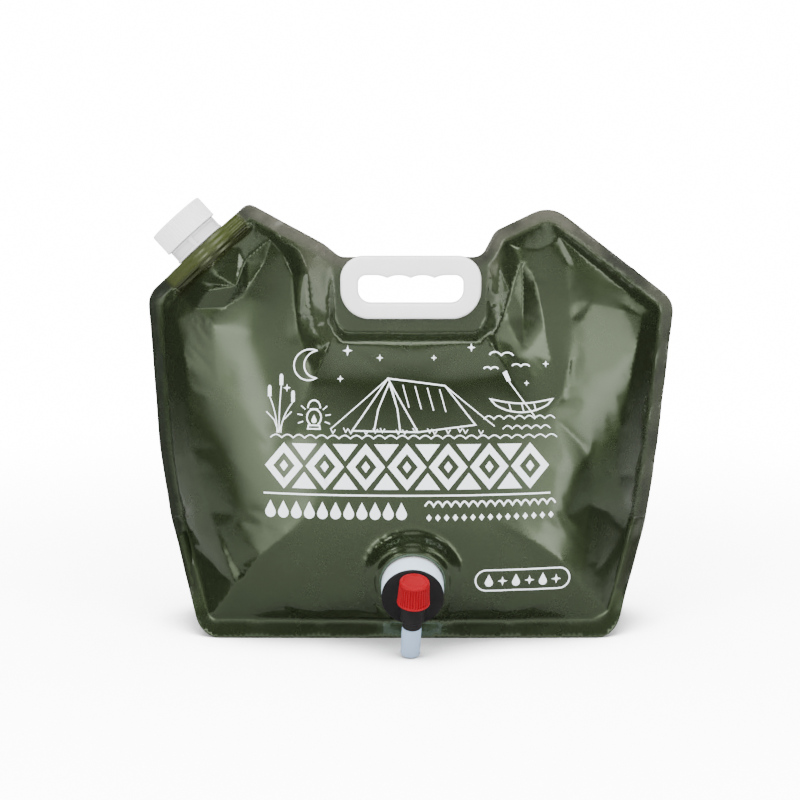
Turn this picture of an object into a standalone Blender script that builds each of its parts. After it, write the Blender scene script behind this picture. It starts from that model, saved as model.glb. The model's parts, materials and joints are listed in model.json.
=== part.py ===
"""A folding water bag of welded film with a corner filler cap, a clip-on carry handle and a front tap.

Metres, +Z up, +X to the right of the person facing the tap, -Y towards that person.
The origin is the middle of the base, on the surface that the filled bag stands on.
Flat outlines are complex numbers: the real part is x and the imaginary part is z.
"""

import cmath
import math

import bmesh
import bpy
import numpy as np
from mathutils import Vector
from mathutils.geometry import delaunay_2d_cdt

# Film: two panels and a base gusset, welded together round the edge
FILM_GAUGE = 0.0006
WELD_GAP = 0.0003
SEAM_WIDTH = 0.0095
BASE_SEAM_WIDTH = 0.0125

# Outline of a panel, seen from the front
SHOULDER_LEFT = 0.1990
SHOULDER_LEFT_HEIGHT = 0.2515
SHOULDER_RIGHT = 0.1975
SHOULDER_RIGHT_HEIGHT = 0.2470
SHOULDER_RADIUS = 0.018
HORN_LEFT = 0.1225
HORN_LEFT_HEIGHT = 0.3205
HORN_RIGHT = 0.1035
HORN_RIGHT_HEIGHT = 0.3192
HORN_RADIUS = 0.023
HORN_FOOT_LEFT = 0.0660
HORN_FOOT_LEFT_HEIGHT = 0.2898
HORN_FOOT_RIGHT = 0.0620
HORN_FOOT_RIGHT_HEIGHT = 0.2995
HORN_FOOT_RADIUS = 0.012
WEB_TOP = 0.2800
WEB_CORNER_RADIUS = 0.010
WAIST_LEFT = 0.1930
WAIST_RIGHT = 0.1870
WAIST_HEIGHT = 0.135
WAIST_RADIUS = 0.150
SPLIT_LEFT = 0.1855
SPLIT_RIGHT = 0.1800
SPLIT_HEIGHT = 0.080
SPLIT_RADIUS = 0.030
BASE_LEFT = 0.1570
BASE_RIGHT = 0.1505
BASE_CORNER_RADIUS = 0.020

# How the filled bag swells
BASE_HALF_DEPTH = 0.052
SWELL = 0.047
SWELL_POWER = 0.60
FILM_STEP = 0.0200
FILM_CLEAR_OF_LINES = 0.0075
WEB_CLEAR_OF_SEAM = 0.0025
ARC_STEPS = 3
FILLET_EDGE_SHARE = 0.45
LEAST_INNER_FILLET = 0.002
FOLD_CLEAR_OF_LINES = 0.0045

# Main folds of the filled bag. Each point gives its distance from the middle as a share of that
# shoulder's, its height as a share of that horn's, and how far it stands out as a share of the swell.
FRONT_FOLDS = (
    ((-0.872, 0.783, 0.032), (-0.754, 0.802, 0.064), (-0.651, 0.813, 0.096), (-0.618, 0.871, 0.074),
     (-0.598, 0.924, 0.032)),
    ((-0.864, 0.744, -0.043), (-0.804, 0.754, -0.085), (-0.698, 0.763, -0.117),
     (-0.618, 0.799, -0.106), (-0.553, 0.861, -0.085), (-0.528, 0.911, -0.043)),
    ((-0.462, 0.92, -0.032), (-0.407, 0.849, -0.085), (-0.392, 0.796, -0.117),
     (-0.372, 0.724, -0.106), (-0.352, 0.649, -0.043)),
    ((-0.482, 0.886, 0.021), (-0.44, 0.827, 0.026), (-0.435, 0.774, 0.026), (-0.422, 0.705, 0.021),
     (-0.402, 0.643, 0.011)),
    ((0.446, 0.821, -0.074), (0.425, 0.705, -0.064), (0.446, 0.589, -0.011)),
    ((0.486, 0.909, 0.068), (0.511, 0.827, 0.074), (0.514, 0.714, 0.064), (0.496, 0.592, 0.032)),
    ((0.8, 0.783, 0.043), (0.78, 0.736, 0.053), (0.759, 0.62, 0.064), (0.749, 0.482, 0.053),
     (0.8, 0.351, 0.021)),
    ((-0.849, 0.63, 0.043), (-0.839, 0.521, 0.053), (-0.829, 0.427, 0.053), (-0.764, 0.287, 0.043)),
    ((-0.563, 0.2, 0.053), (-0.467, 0.253, 0.043), (-0.377, 0.306, 0.021)),
    ((0.552, 0.191, 0.053), (0.435, 0.244, 0.043), (0.324, 0.285, 0.011)),
)
REAR_FOLDS = (
    ((-0.804, 0.777, 0.043), (-0.651, 0.805, 0.085), (-0.608, 0.874, 0.064)),
    ((-0.854, 0.739, -0.043), (-0.714, 0.761, -0.106), (-0.583, 0.83, -0.096), (-0.533, 0.905, -0.043)),
    ((-0.462, 0.92, -0.021), (-0.397, 0.849, -0.096), (-0.382, 0.78, -0.117), (-0.372, 0.699, -0.106),
     (-0.422, 0.537, -0.021)),
    ((-0.482, 0.886, 0.017), (-0.44, 0.83, 0.026), (-0.437, 0.768, 0.026), (-0.437, 0.693, 0.021)),
    ((0.415, 0.921, 0.021), (0.385, 0.821, -0.106), (0.375, 0.695, -0.096), (0.456, 0.517, -0.021)),
    ((0.759, 0.808, 0.043), (0.79, 0.627, 0.064), (0.759, 0.439, 0.053)),
    ((0.597, 0.893, -0.032), (0.618, 0.739, -0.043), (0.587, 0.501, -0.011)),
    ((-0.834, 0.562, 0.053), (-0.824, 0.406, 0.053)),
    ((-0.523, 0.25, 0.053), (-0.312, 0.362, 0.011)),
    ((0.506, 0.247, 0.053), (0.273, 0.345, 0.011)),
)

# Base gusset
GUSSET_START_OPENING = 0.0050
GUSSET_TRIM = 0.0010
GUSSET_WALL_BULGE = 0.0060
GUSSET_FLAT_SHARE = 0.68
GUSSET_ROWS = (0.0, 0.40, GUSSET_FLAT_SHARE, 0.80, 0.92)

# Carry handle: two moulded halves that clip together through a slot in the film
HANDLE_X = -0.0010
HANDLE_WIDTH = 0.1054
HANDLE_HEIGHT = 0.0469
HANDLE_THICKNESS = 0.0056
HANDLE_TOP_RADIUS = 0.0170
HANDLE_BOTTOM_RADIUS = 0.0220
HANDLE_ABOVE_FILM = 0.0006
HANDLE_EDGE_ROUNDING = 0.0022
GRIP_WIDTH = 0.0793
GRIP_HEIGHT = 0.0211
GRIP_BELOW_TOP = 0.0141
GRIP_TOP_RADIUS = 0.0065
GRIP_BOTTOM_RADIUS = 0.0095
FINGER_LOBES = 4
FINGER_END_SHARE = 0.25
FINGER_RIDGE_DEPTH = 0.0021
COLLAR_WALL = 0.0020
COLLAR_REACH = 0.0024
WEB_MARGIN_SIDE = 0.0052
WEB_MARGIN_BELOW = 0.0125
WEB_BOTTOM_RADIUS = 0.014

# Filler spout, welded between the panels on the left shoulder
SPOUT_FROM_CORNER = 0.0552
BOAT_HALF_LENGTH = 0.036
BOAT_HALF_THICKNESS = 0.0185
BOAT_TIP_HALF_THICKNESS = 0.0006
BOAT_DEPTH = 0.0150
BOAT_STATIONS = 10
BOAT_RIBS = 4
BOAT_RIB_HEIGHT = 0.0007
BOAT_RIB_SHARE = 0.45
SPOUT_BORE_RADIUS = 0.0160
SPOUT_FLANGE_RADIUS = 0.0212
SPOUT_FLANGE_THICKNESS = 0.0016
SPOUT_FLANGE_GAP = 0.0006
SPOUT_CORE_RADIUS = 0.0190
SPOUT_LUG_RADIUS = 0.0206
SPOUT_LUGS = 4
SPOUT_LUG_STEPS = 10
SPOUT_BEAD_HEIGHT = 0.0102
SPOUT_BEAD_THICKNESS = 0.0016
SPOUT_FINISH_RADIUS = 0.0198
CAP_RADIUS = 0.02275
CAP_HEIGHT = 0.0175
CAP_BOTTOM = 0.0108
CAP_WALL = 0.0016
CAP_TOP_WALL = 0.0021
CAP_FLUTES = 30
CAP_FLUTE_DEPTH = 0.0005
CAP_EDGE_ROUNDING = 0.0010
LINER_THICKNESS = 0.0010
LINER_SIDE_CLEARANCE = 0.0004

# Outlet: a spout welded inside the front panel, a screw cap on it and the tap through that cap
TAP_HEIGHT = 0.0490
TAP_FORWARD = 0.0730
TAP_DROOP = math.radians(18.0)
TAP_ROLL = math.radians(2.8)
TAP_BLEND_RADIUS = 0.050
OUTLET_FLANGE_RADIUS = 0.0270
OUTLET_WELD_RADIUS = 0.0279
OUTLET_FLANGE_THICKNESS = 0.0018
OUTLET_SHOULDER_RADIUS = 0.0223
OUTLET_SHOULDER_LENGTH = 0.0030
OUTLET_BORE_RADIUS = 0.0165
FILM_HOLE_CLEARANCE = 0.0004
OUTLET_CAP_RADIUS = 0.0225
OUTLET_CAP_LENGTH = 0.0150
OUTLET_CAP_WALL = 0.0025
OUTLET_THREAD_CLEARANCE = 0.0006
OUTLET_CAP_ROUNDING = 0.0008
SEAT_CLEARANCE = 0.0003
GASKET_THICKNESS = 0.0012
GASKET_SIDE_CLEARANCE = 0.0003
TAIL_RADIUS = 0.0072
TAIL_CLEARANCE = 0.0004
TAIL_BORE_RADIUS = 0.0040
TAIL_BEYOND_NUT = 0.0030
BACK_NUT_ACROSS_FLATS = 0.0210
BACK_NUT_THICKNESS = 0.0048
BACK_WASHER_RADIUS = 0.0120
BACK_WASHER_THICKNESS = 0.0012
TAP_FLANGE_RADIUS = 0.0225
TAP_FLANGE_THICKNESS = 0.0030
ARM_RADIUS = 0.0056
BARREL_REACH = 0.0147
BARREL_RADIUS = 0.0086
BARREL_BORE_RADIUS = 0.0062
BARREL_BOTTOM = 0.0076
BARREL_TOP = 0.0165
SEAT_DEPTH = 0.0060
SEAT_BORE_RADIUS = 0.0036
SOCKET_RADIUS = 0.0071
SOCKET_LENGTH = 0.0060
NOZZLE_RADIUS = 0.0053
NOZZLE_LENGTH = 0.0094
TUBE_WALL = 0.0014
TUBE_FIT = 0.0003
TUBE_LENGTH = 0.0228
STEM_RADIUS = 0.0022
PISTON_RADIUS = 0.0058
PISTON_BOTTOM = 0.0072
PISTON_LENGTH = 0.0048
ORING_GROOVE_DEPTH = 0.0012
ORING_CLEARANCE = 0.0002
PLUG_RADIUS = 0.0052
PLUG_HEIGHT = 0.0042
PLUG_SOCKET_DEPTH = 0.0025
KNOB_BOTTOM = 0.0063
KNOB_HEIGHT = 0.0181
KNOB_BOTTOM_RADIUS = 0.0117
KNOB_TOP_RADIUS = 0.0103
KNOB_SKIRT_BAND = 0.0014
KNOB_EDGE_ROUNDING = 0.0009
KNOB_THREAD_CLEARANCE = 0.0005
KNOB_TOP_WALL = 0.0036
KNOB_DISH_RADIUS = 0.0078
KNOB_DISH_DEPTH = 0.0010
KNOB_FLUTES = 22
KNOB_FLUTE_DEPTH = 0.0005
STEM_IN_KNOB = 0.0012
STEM_FIT = 0.0002

ROUND_STEPS = 36
SMALL_ROUND_STEPS = 24
ORING_STEPS = 8
BORE_OVERRUN = 0.002

# Finishing of the meshes
SHARP_ANGLE = math.radians(35)
STRAIGHT_ANGLE = math.radians(179)
LEAST_EDGE = 0.000002
ON_LINE = 1e-6
POINT_TOLERANCE = 1e-7

GREEN_FILM = ("dark_green_film", (0.030, 0.045, 0.018), 0.12)
WHITE_PLASTIC = ("white_plastic", (0.80, 0.80, 0.80), 0.35)
MILKY_PLASTIC = ("milky_plastic", (0.72, 0.76, 0.78), 0.30)
BLACK_PLASTIC = ("black_plastic", (0.018, 0.016, 0.017), 0.40)
RED_PLASTIC = ("red_plastic", (0.62, 0.012, 0.018), 0.35)
CLEAR_TUBE = ("clear_tube", (0.55, 0.66, 0.74), 0.25)
RUBBER = ("rubber_seal", (0.05, 0.05, 0.05), 0.80)


def material_of(finish):
    """One Principled material for each finish, made the first time it is asked for."""
    name, colour, roughness = finish
    found = bpy.data.materials.get(name)
    if found:
        return found
    material = bpy.data.materials.new(name)
    material.use_nodes = True
    shader = material.node_tree.nodes["Principled BSDF"]
    shader.inputs["Base Color"].default_value = (*colour, 1.0)
    shader.inputs["Roughness"].default_value = roughness
    shader.inputs["Metallic"].default_value = 0.0
    return material


def placed(name, shape, parent, at):
    """Links a bmesh as a new object under its parent empty."""
    mesh = bpy.data.meshes.new(name)
    shape.to_mesh(mesh)
    shape.free()
    made = bpy.data.objects.new(name, mesh)
    bpy.context.scene.collection.objects.link(made)
    made.parent = parent
    made.location = at
    return made


def piece(name, shape, finish, parent=None, at=(0.0, 0.0, 0.0)):
    """A piece of the bag, with its material and smooth round faces."""
    made = placed(name, shape, parent, at)
    made.data.materials.append(material_of(finish))
    made.data.shade_smooth()
    made.data.set_sharp_from_angle(angle=SHARP_ANGLE)
    return made


def guide(name, shape, parent=None, at=(0.0, 0.0, 0.0)):
    """A cutter, or a form to be added to a piece. It is no piece of the bag itself."""
    made = placed(name, shape, parent, at)
    made.hide_render = True
    made.display_type = "WIRE"
    return made


def combine(target, form, operation):
    """Adds a form to a piece or cuts it away."""
    modifier = target.modifiers.new(form.name, "BOOLEAN")
    modifier.object = form
    modifier.operation = operation
    modifier.solver = "EXACT"
    weld = target.modifiers.new(f"{form.name}_weld", "WELD")
    weld.merge_threshold = LEAST_EDGE


def frame_empty(name, location, rotation, parent=None):
    made = bpy.data.objects.new(name, None)
    bpy.context.scene.collection.objects.link(made)
    made.parent = parent
    made.location = location
    made.rotation_euler = rotation
    return made


def turned(profile, steps=ROUND_STEPS, forward=False, grooved=(), groove=0.0, period=2, crest=1):
    """A solid turned from (radius, height) points that run anticlockwise with the axis on their left.

    The profile points listed in grooved lose the depth of a groove on all but crest rays in each period.
    The axis is +Z, or -Y for a solid that faces forward.
    """
    shape = bmesh.new()
    rings = []
    for index, (radius, height) in enumerate(profile):
        if radius == 0.0:
            rings.append([shape.verts.new((0.0, 0.0, height))])
            continue
        ring = []
        for k in range(steps):
            angle = 2 * math.pi * k / steps
            r = radius - (groove if index in grooved and k % period >= crest else 0.0)
            ring.append(shape.verts.new((r * math.cos(angle), r * math.sin(angle), height)))
        rings.append(ring)
    for index, ring in enumerate(rings):
        following = rings[(index + 1) % len(rings)]
        for k in range(steps if len(ring) > 1 or len(following) > 1 else 0):
            after = (k + 1) % steps
            if len(ring) == 1:
                shape.faces.new((ring[0], following[after], following[k]))
            elif len(following) == 1:
                shape.faces.new((ring[k], ring[after], following[0]))
            else:
                shape.faces.new((ring[k], ring[after], following[after], following[k]))
    bmesh.ops.recalc_face_normals(shape, faces=shape.faces[:])
    if forward:
        for vert in shape.verts:
            x, y, z = vert.co
            vert.co = (x, -z, y)
    return shape


def rod(radius, low, high, steps=ROUND_STEPS, forward=False):
    return turned([(0.0, low), (radius, low), (radius, high), (0.0, high)], steps, forward)


def ringed(rings):
    """A ring-shaped solid whose closed loops of points follow each other round its section."""
    shape = bmesh.new()
    rows = [[shape.verts.new(point) for point in ring] for ring in rings]
    for row, following in zip(rows, rows[1:] + rows[:1]):
        for k in range(len(row)):
            after = (k + 1) % len(row)
            shape.faces.new((row[k], row[after], following[after], following[k]))
    bmesh.ops.recalc_face_normals(shape, faces=shape.faces[:])
    return shape


# Flat outlines


def unit(step):
    return step / abs(step)


def fillet(before, corner, after, radius):
    """Tangent points and centre of the arc at a corner, kept within the edges beside it."""
    back = unit(before - corner)
    ahead = unit(after - corner)
    half = abs(cmath.phase(ahead / back)) / 2
    if radius == 0.0 or half > STRAIGHT_ANGLE / 2:
        return corner, corner, None
    room = FILLET_EDGE_SHARE * min(abs(before - corner), abs(after - corner))
    reach = min(radius / math.tan(half), room)
    centre = corner + unit(back + ahead) * reach / math.cos(half)
    return corner + back * reach, corner + ahead * reach, centre


def sampled_loop(corners, counts):
    """Points round a polygon of (corner, fillet radius), with so many steps along each edge.

    Loops sampled with the same counts have matching points.
    """
    spots = [spot for spot, _ in corners]
    cuts = [fillet(spots[i - 1], spots[i], spots[(i + 1) % len(spots)], corners[i][1])
            for i in range(len(corners))]
    points = []
    for i, (first, last, centre) in enumerate(cuts):
        if centre is None:
            points.append(first)
        else:
            sweep = cmath.phase((last - centre) / (first - centre))
            points += [centre + (first - centre) * cmath.exp(1j * sweep * k / ARC_STEPS)
                       for k in range(ARC_STEPS + 1)]
        run = cuts[(i + 1) % len(cuts)][0] - last
        points += [last + run * k / counts[i] for k in range(1, counts[i])]
    return points


def inset_corners(corners, widths):
    """The corners of the line that runs inside a polygon, each edge moved in by its own width."""
    moved = []
    for i, (spot, radius) in enumerate(corners):
        back = unit(spot - corners[i - 1][0])
        ahead = unit(corners[(i + 1) % len(corners)][0] - spot)
        bend = (back.conjugate() * ahead).imag
        width_back, width_ahead = widths[i - 1], widths[i]
        shift = 1j * ahead * width_ahead
        if abs(bend) > ON_LINE:
            slide = (width_back * (back.conjugate() * ahead).real - width_ahead) / bend
            shift = 1j * back * width_back + back * slide
        inner_radius = radius - width_ahead if bend > 0 else radius + width_ahead
        moved.append((spot + shift, max(LEAST_INNER_FILLET, inner_radius) if radius else 0.0))
    return moved


def depth_inside(points, loop):
    """Distance of each point from a closed loop, negative outside it."""
    points = np.asarray(points, dtype=complex)[:, None]
    start = np.asarray(loop, dtype=complex)[None, :]
    edge = np.roll(start, -1, axis=1) - start
    along = np.clip(((points - start) * edge.conj()).real / np.abs(edge) ** 2, 0.0, 1.0)
    distance = np.abs(points - start - along * edge).min(axis=1)
    end = start + edge
    crosses = (start.imag > points.imag) != (end.imag > points.imag)
    with np.errstate(divide="ignore", invalid="ignore"):
        meets = start.real + (points.imag - start.imag) / edge.imag * edge.real
    inside = (crosses & (points.real < meets)).sum(axis=1) % 2 == 1
    return np.where(inside, distance, -distance)


def seam_of_spout():
    """Middle of the filler's seam on the left slanting edge, and that edge's direction."""
    shoulder = complex(-SHOULDER_LEFT, SHOULDER_LEFT_HEIGHT)
    along = unit(complex(-HORN_LEFT, HORN_LEFT_HEIGHT) - shoulder)
    return shoulder + along * SPOUT_FROM_CORNER, along


def outline_corners():
    """(corner, fillet radius) round a panel, anticlockwise from the bottom right corner."""
    web_half = HANDLE_WIDTH / 2 + WEB_MARGIN_SIDE
    middle, along = seam_of_spout()
    return [
        (complex(BASE_RIGHT, 0.0), BASE_CORNER_RADIUS),
        (complex(SPLIT_RIGHT, SPLIT_HEIGHT), SPLIT_RADIUS),
        (complex(WAIST_RIGHT, WAIST_HEIGHT), WAIST_RADIUS),
        (complex(SHOULDER_RIGHT, SHOULDER_RIGHT_HEIGHT), SHOULDER_RADIUS),
        (complex(HORN_RIGHT, HORN_RIGHT_HEIGHT), HORN_RADIUS),
        (complex(HORN_FOOT_RIGHT, HORN_FOOT_RIGHT_HEIGHT), HORN_FOOT_RADIUS),
        (complex(HANDLE_X + web_half - WEB_CORNER_RADIUS / 2, WEB_TOP), WEB_CORNER_RADIUS),
        (complex(HANDLE_X - web_half + WEB_CORNER_RADIUS / 2, WEB_TOP), WEB_CORNER_RADIUS),
        (complex(-HORN_FOOT_LEFT, HORN_FOOT_LEFT_HEIGHT), HORN_FOOT_RADIUS),
        (complex(-HORN_LEFT, HORN_LEFT_HEIGHT), HORN_RADIUS),
        (middle + along * BOAT_HALF_LENGTH, 0.0),
        (middle - along * BOAT_HALF_LENGTH, 0.0),
        (complex(-SHOULDER_LEFT, SHOULDER_LEFT_HEIGHT), SHOULDER_RADIUS),
        (complex(-WAIST_LEFT, WAIST_HEIGHT), WAIST_RADIUS),
        (complex(-SPLIT_LEFT, SPLIT_HEIGHT), SPLIT_RADIUS),
        (complex(-BASE_LEFT, 0.0), BASE_CORNER_RADIUS),
    ]


def seam_loops():
    """The film's cut edge and the inner line of its seam, with matching points."""
    corners = outline_corners()
    spots = [spot for spot, _ in corners]
    runs = [abs(after - spot) for spot, after in zip(spots, spots[1:] + spots[:1])]
    counts = [max(1, round(run / FILM_STEP)) for run in runs]
    counts[[radius for _, radius in corners].index(0.0)] = BOAT_STATIONS
    widths = [SEAM_WIDTH] * (len(corners) - 1) + [BASE_SEAM_WIDTH]
    return sampled_loop(corners, counts), sampled_loop(inset_corners(corners, widths), counts)


def rounded_box(width, height, top_radius, bottom_radius, centre, ridge=0.0):
    """A rounded rectangle whose top edge may carry finger ridges. Every box has matching points."""
    half, tall = width / 2, height / 2
    corners = ((complex(half, -tall), bottom_radius, -90), (complex(half, tall), top_radius, 0),
               (complex(-half, tall), top_radius, 90), (complex(-half, -tall), bottom_radius, 180))
    straight = 2 * (half - top_radius)
    pitch = straight / (FINGER_LOBES - FINGER_END_SHARE)
    quarters = 2 * FINGER_LOBES - 1
    points = []
    for number, (corner, radius, start) in enumerate(corners):
        middle = corner - radius * complex(math.copysign(1, corner.real), math.copysign(1, corner.imag))
        points += [middle + radius * cmath.exp(1j * math.radians(start + 90 * k / (ARC_STEPS + 1)))
                   for k in range(ARC_STEPS + 2)]
        if number == 1:
            for k in range(quarters, -quarters - 1, -1):
                from_ridge = abs(k) % 4 / 4
                to_lobe = abs(0.5 - from_ridge) * 2
                drop = ridge * to_lobe ** 2 if abs(k) < 2 * (FINGER_LOBES - 1) else 0.0
                points.append(complex(k * pitch / 4, tall - drop))
    return [centre + point for point in points]


def handle_loop(grow, ridge=0.0, of_grip=True):
    """The grip opening or the outside of the handle, grown by so much all round."""
    top = WEB_TOP + HANDLE_ABOVE_FILM
    if of_grip:
        centre = complex(HANDLE_X, top - GRIP_BELOW_TOP - GRIP_HEIGHT / 2)
        return rounded_box(GRIP_WIDTH + 2 * grow, GRIP_HEIGHT + 2 * grow, GRIP_TOP_RADIUS + grow,
                           GRIP_BOTTOM_RADIUS + grow, centre, ridge)
    centre = complex(HANDLE_X, top - HANDLE_HEIGHT / 2)
    return rounded_box(HANDLE_WIDTH + 2 * grow, HANDLE_HEIGHT + 2 * grow, HANDLE_TOP_RADIUS + grow,
                       HANDLE_BOTTOM_RADIUS + grow, centre)


def web_loop():
    """The flat patch of film round the handle, where the panels are welded to each other."""
    half = HANDLE_WIDTH / 2 + WEB_MARGIN_SIDE
    bottom = WEB_TOP + HANDLE_ABOVE_FILM - HANDLE_HEIGHT - WEB_MARGIN_BELOW
    corners = [(complex(HANDLE_X - half, WEB_TOP), 0.0),
               (complex(HANDLE_X - half, bottom), WEB_BOTTOM_RADIUS),
               (complex(HANDLE_X + half, bottom), WEB_BOTTOM_RADIUS),
               (complex(HANDLE_X + half, WEB_TOP), 0.0)]
    across = max(1, round(2 * half / FILM_STEP))
    down = max(1, round((WEB_TOP - bottom) / FILM_STEP))
    return sampled_loop(corners, [down, across, down, 1])


# The swollen film


def leg_forward(height):
    """How far in front of the middle plane the front panel's seam stands at a height."""
    return BASE_HALF_DEPTH * max(0.0, 1.0 - height / SPLIT_HEIGHT)


def boat_half_thickness(offset):
    """Half the thickness of the filler's weld boat at a distance along the seam from its middle."""
    rounding = math.cos(math.pi / 2 * min(1.0, abs(offset) / BOAT_HALF_LENGTH))
    return BOAT_TIP_HALF_THICKNESS + (BOAT_HALF_THICKNESS - BOAT_TIP_HALF_THICKNESS) * rounding


def boat_place(point):
    """Distance along the filler's seam from its middle, and depth below the film's edge."""
    middle, along = seam_of_spout()
    local = (point - middle) / along
    return local.real, -local.imag


def tap_ring(radius):
    """A circle about the tap's axis in the plane of its weld, as seen from the front."""
    return [TAP_HEIGHT * 1j + radius * complex(math.cos(angle), math.sin(angle) * math.cos(TAP_DROOP))
            for angle in (2 * math.pi * k / ROUND_STEPS for k in range(ROUND_STEPS))]


def membrane(points, triangles, held, load):
    """Heights of a stretched skin under an even load, with held points kept at their values."""
    stiffness = np.zeros((len(points), len(points)))
    push = np.zeros(len(points))
    for triangle in triangles:
        a, b, c = (points[k] for k in triangle)
        sides = np.array((c - b, a - c, b - a))
        area = abs((sides[0].conjugate() * sides[1]).imag) / 2
        stiffness[np.ix_(triangle, triangle)] += (sides[:, None] * sides.conj()[None, :]).real / (4 * area)
        push[list(triangle)] += load * area / 3
    fixed = ~np.isnan(held)
    free = ~fixed
    height = np.where(fixed, held, 0.0)
    push[free] -= stiffness[np.ix_(free, fixed)] @ height[fixed]
    height[free] = np.linalg.solve(stiffness[np.ix_(free, free)], push[free])
    return height


def fold_points(folds, inner, others):
    """Runs of fold points inside the seam and clear of the other lines, and the lift of each."""
    runs = []
    for fold in folds:
        run = []
        for across, up, lift in fold:
            wide, high = (SHOULDER_LEFT, HORN_LEFT_HEIGHT) if across < 0 else (SHOULDER_RIGHT, HORN_RIGHT_HEIGHT)
            spot = complex(across * wide, up * high)
            inside = depth_inside([spot], inner)[0] > FOLD_CLEAR_OF_LINES
            if inside and np.abs(others - spot).min() > FOLD_CLEAR_OF_LINES:
                run.append((spot, lift * SWELL))
        if run:
            runs.append(run)
    return runs


def film_mesh(with_tap, folds):
    """Flat points and triangles of a panel, with its lines of seams, boat, web, holes and folds."""
    outer, inner = seam_loops()
    middle, along = seam_of_spout()
    boat_line = [middle + along * BOAT_HALF_LENGTH * (1 - 2 * k / BOAT_STATIONS)
                 - 1j * along * (BOAT_DEPTH + SPOUT_FLANGE_GAP) for k in range(BOAT_STATIONS + 1)]
    slot = handle_loop(COLLAR_WALL + FILM_HOLE_CLEARANCE)
    holes = [slot]
    loops = [outer, inner, slot]
    if with_tap:
        holes.append(tap_ring(OUTLET_SHOULDER_RADIUS + FILM_HOLE_CLEARANCE))
        loops += [holes[1], tap_ring(OUTLET_WELD_RADIUS)]
    web = [point for point in web_loop() if depth_inside([point], inner)[0] > WEB_CLEAR_OF_SEAM]
    points = []
    edges = []
    for line, closed in [(loop, True) for loop in loops] + [(boat_line, False), (web, False)]:
        count = len(points)
        points += line
        edges += [(count + k, count + k + 1) for k in range(len(line) - 1)]
        if closed:
            edges.append((count + len(line) - 1, count))
    for run in fold_points(folds, inner, np.array(points)):
        edges += [(len(points) + k, len(points) + k + 1) for k in range(len(run) - 1)]
        points += [spot for spot, _ in run]
    fixed_lines = np.array(points)
    row = FILM_STEP * math.sqrt(3) / 2
    for j in range(1, math.ceil(HORN_LEFT_HEIGHT / row)):
        for k in range(-round(SHOULDER_LEFT / FILM_STEP), round(SHOULDER_LEFT / FILM_STEP) + 1):
            spot = complex((k + j % 2 / 2) * FILM_STEP, j * row)
            clear = np.abs(fixed_lines - spot).min() > FILM_CLEAR_OF_LINES
            if clear and depth_inside([spot], inner)[0] > 0:
                points.append(spot)
    flat = [Vector((point.real, point.imag)) for point in points]
    verts, _, faces, *_ = delaunay_2d_cdt(flat, edges, [], 0, POINT_TOLERANCE)
    points = np.array([complex(*vert) for vert in verts])
    middles = np.array([points[list(face)].mean() for face in faces])
    kept = depth_inside(middles, outer) > 0
    for hole in holes:
        kept &= depth_inside(middles, hole) < 0
    return points, [tuple(face) for face, keep in zip(faces, kept) if keep]


def film_forward(points, triangles, with_tap, folds):
    """How far the inside of a panel stands away from the middle plane at each flat point."""
    _, inner = seam_loops()
    in_seam = depth_inside(points, inner) < ON_LINE
    in_web = depth_inside(points, web_loop()) > -ON_LINE
    held = np.full(len(points), np.nan)
    for k, point in enumerate(points):
        offset, depth = boat_place(point)
        if abs(offset) < BOAT_HALF_LENGTH + ON_LINE and depth < BOAT_DEPTH + SPOUT_FLANGE_GAP + ON_LINE:
            held[k] = boat_half_thickness(offset) + WELD_GAP
        elif in_seam[k] or in_web[k]:
            held[k] = leg_forward(point.imag) + WELD_GAP / 2
    used = sorted({k for triangle in triangles for k in triangle})
    place = {k: number for number, k in enumerate(used)}
    faces = [tuple(place[k] for k in triangle) for triangle in triangles]
    points, held = points[used], held[used]
    carried = membrane(points, faces, held, 0.0)
    swollen = membrane(points, faces, np.where(np.isnan(held), np.nan, 0.0), 1.0)
    forward = carried + SWELL * np.clip(swollen / swollen.max(), 0.0, 1.0) ** SWELL_POWER
    if with_tap:
        across = points - TAP_HEIGHT * 1j
        radius = np.abs(across.real + 1j * across.imag / math.cos(TAP_DROOP))
        share = np.clip((TAP_BLEND_RADIUS - radius) / (TAP_BLEND_RADIUS - OUTLET_WELD_RADIUS), 0.0, 1.0)
        share = np.where(np.isnan(held), share * share * (3 - 2 * share), 0.0)
        weld_plane = TAP_FORWARD + across.imag * math.tan(TAP_DROOP)
        forward = forward * (1 - share) + weld_plane * share
    for run in fold_points(folds, inner, points[~np.isnan(held)]):
        for spot, lift in run:
            nearest = np.abs(points - spot).argmin()
            if abs(points[nearest] - spot) < ON_LINE:
                forward[nearest] += lift
    return points, faces, forward


def film_solid(name, points, faces):
    """A film from the points of its inside face, as thick as its gauge towards the outside."""
    shape = bmesh.new()
    verts = [shape.verts.new(point) for point in points]
    for face in faces:
        shape.faces.new([verts[k] for k in face])
    shape.normal_update()
    made = piece(name, shape, GREEN_FILM)
    thicken = made.modifiers.new("gauge", "SOLIDIFY")
    thicken.thickness = FILM_GAUGE
    thicken.offset = 1.0
    return made


def make_panels():
    """The front panel with its tap hole, and the rear panel."""
    for name, side, with_tap, folds in (("front_panel", -1, True, FRONT_FOLDS), ("rear_panel", 1, False, REAR_FOLDS)):
        points, faces, forward = film_forward(*film_mesh(with_tap, folds), with_tap, folds)
        solid = [(point.real, side * y, point.imag) for point, y in zip(points, forward)]
        film_solid(name, solid, faces if side < 0 else [face[::-1] for face in faces])


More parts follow.
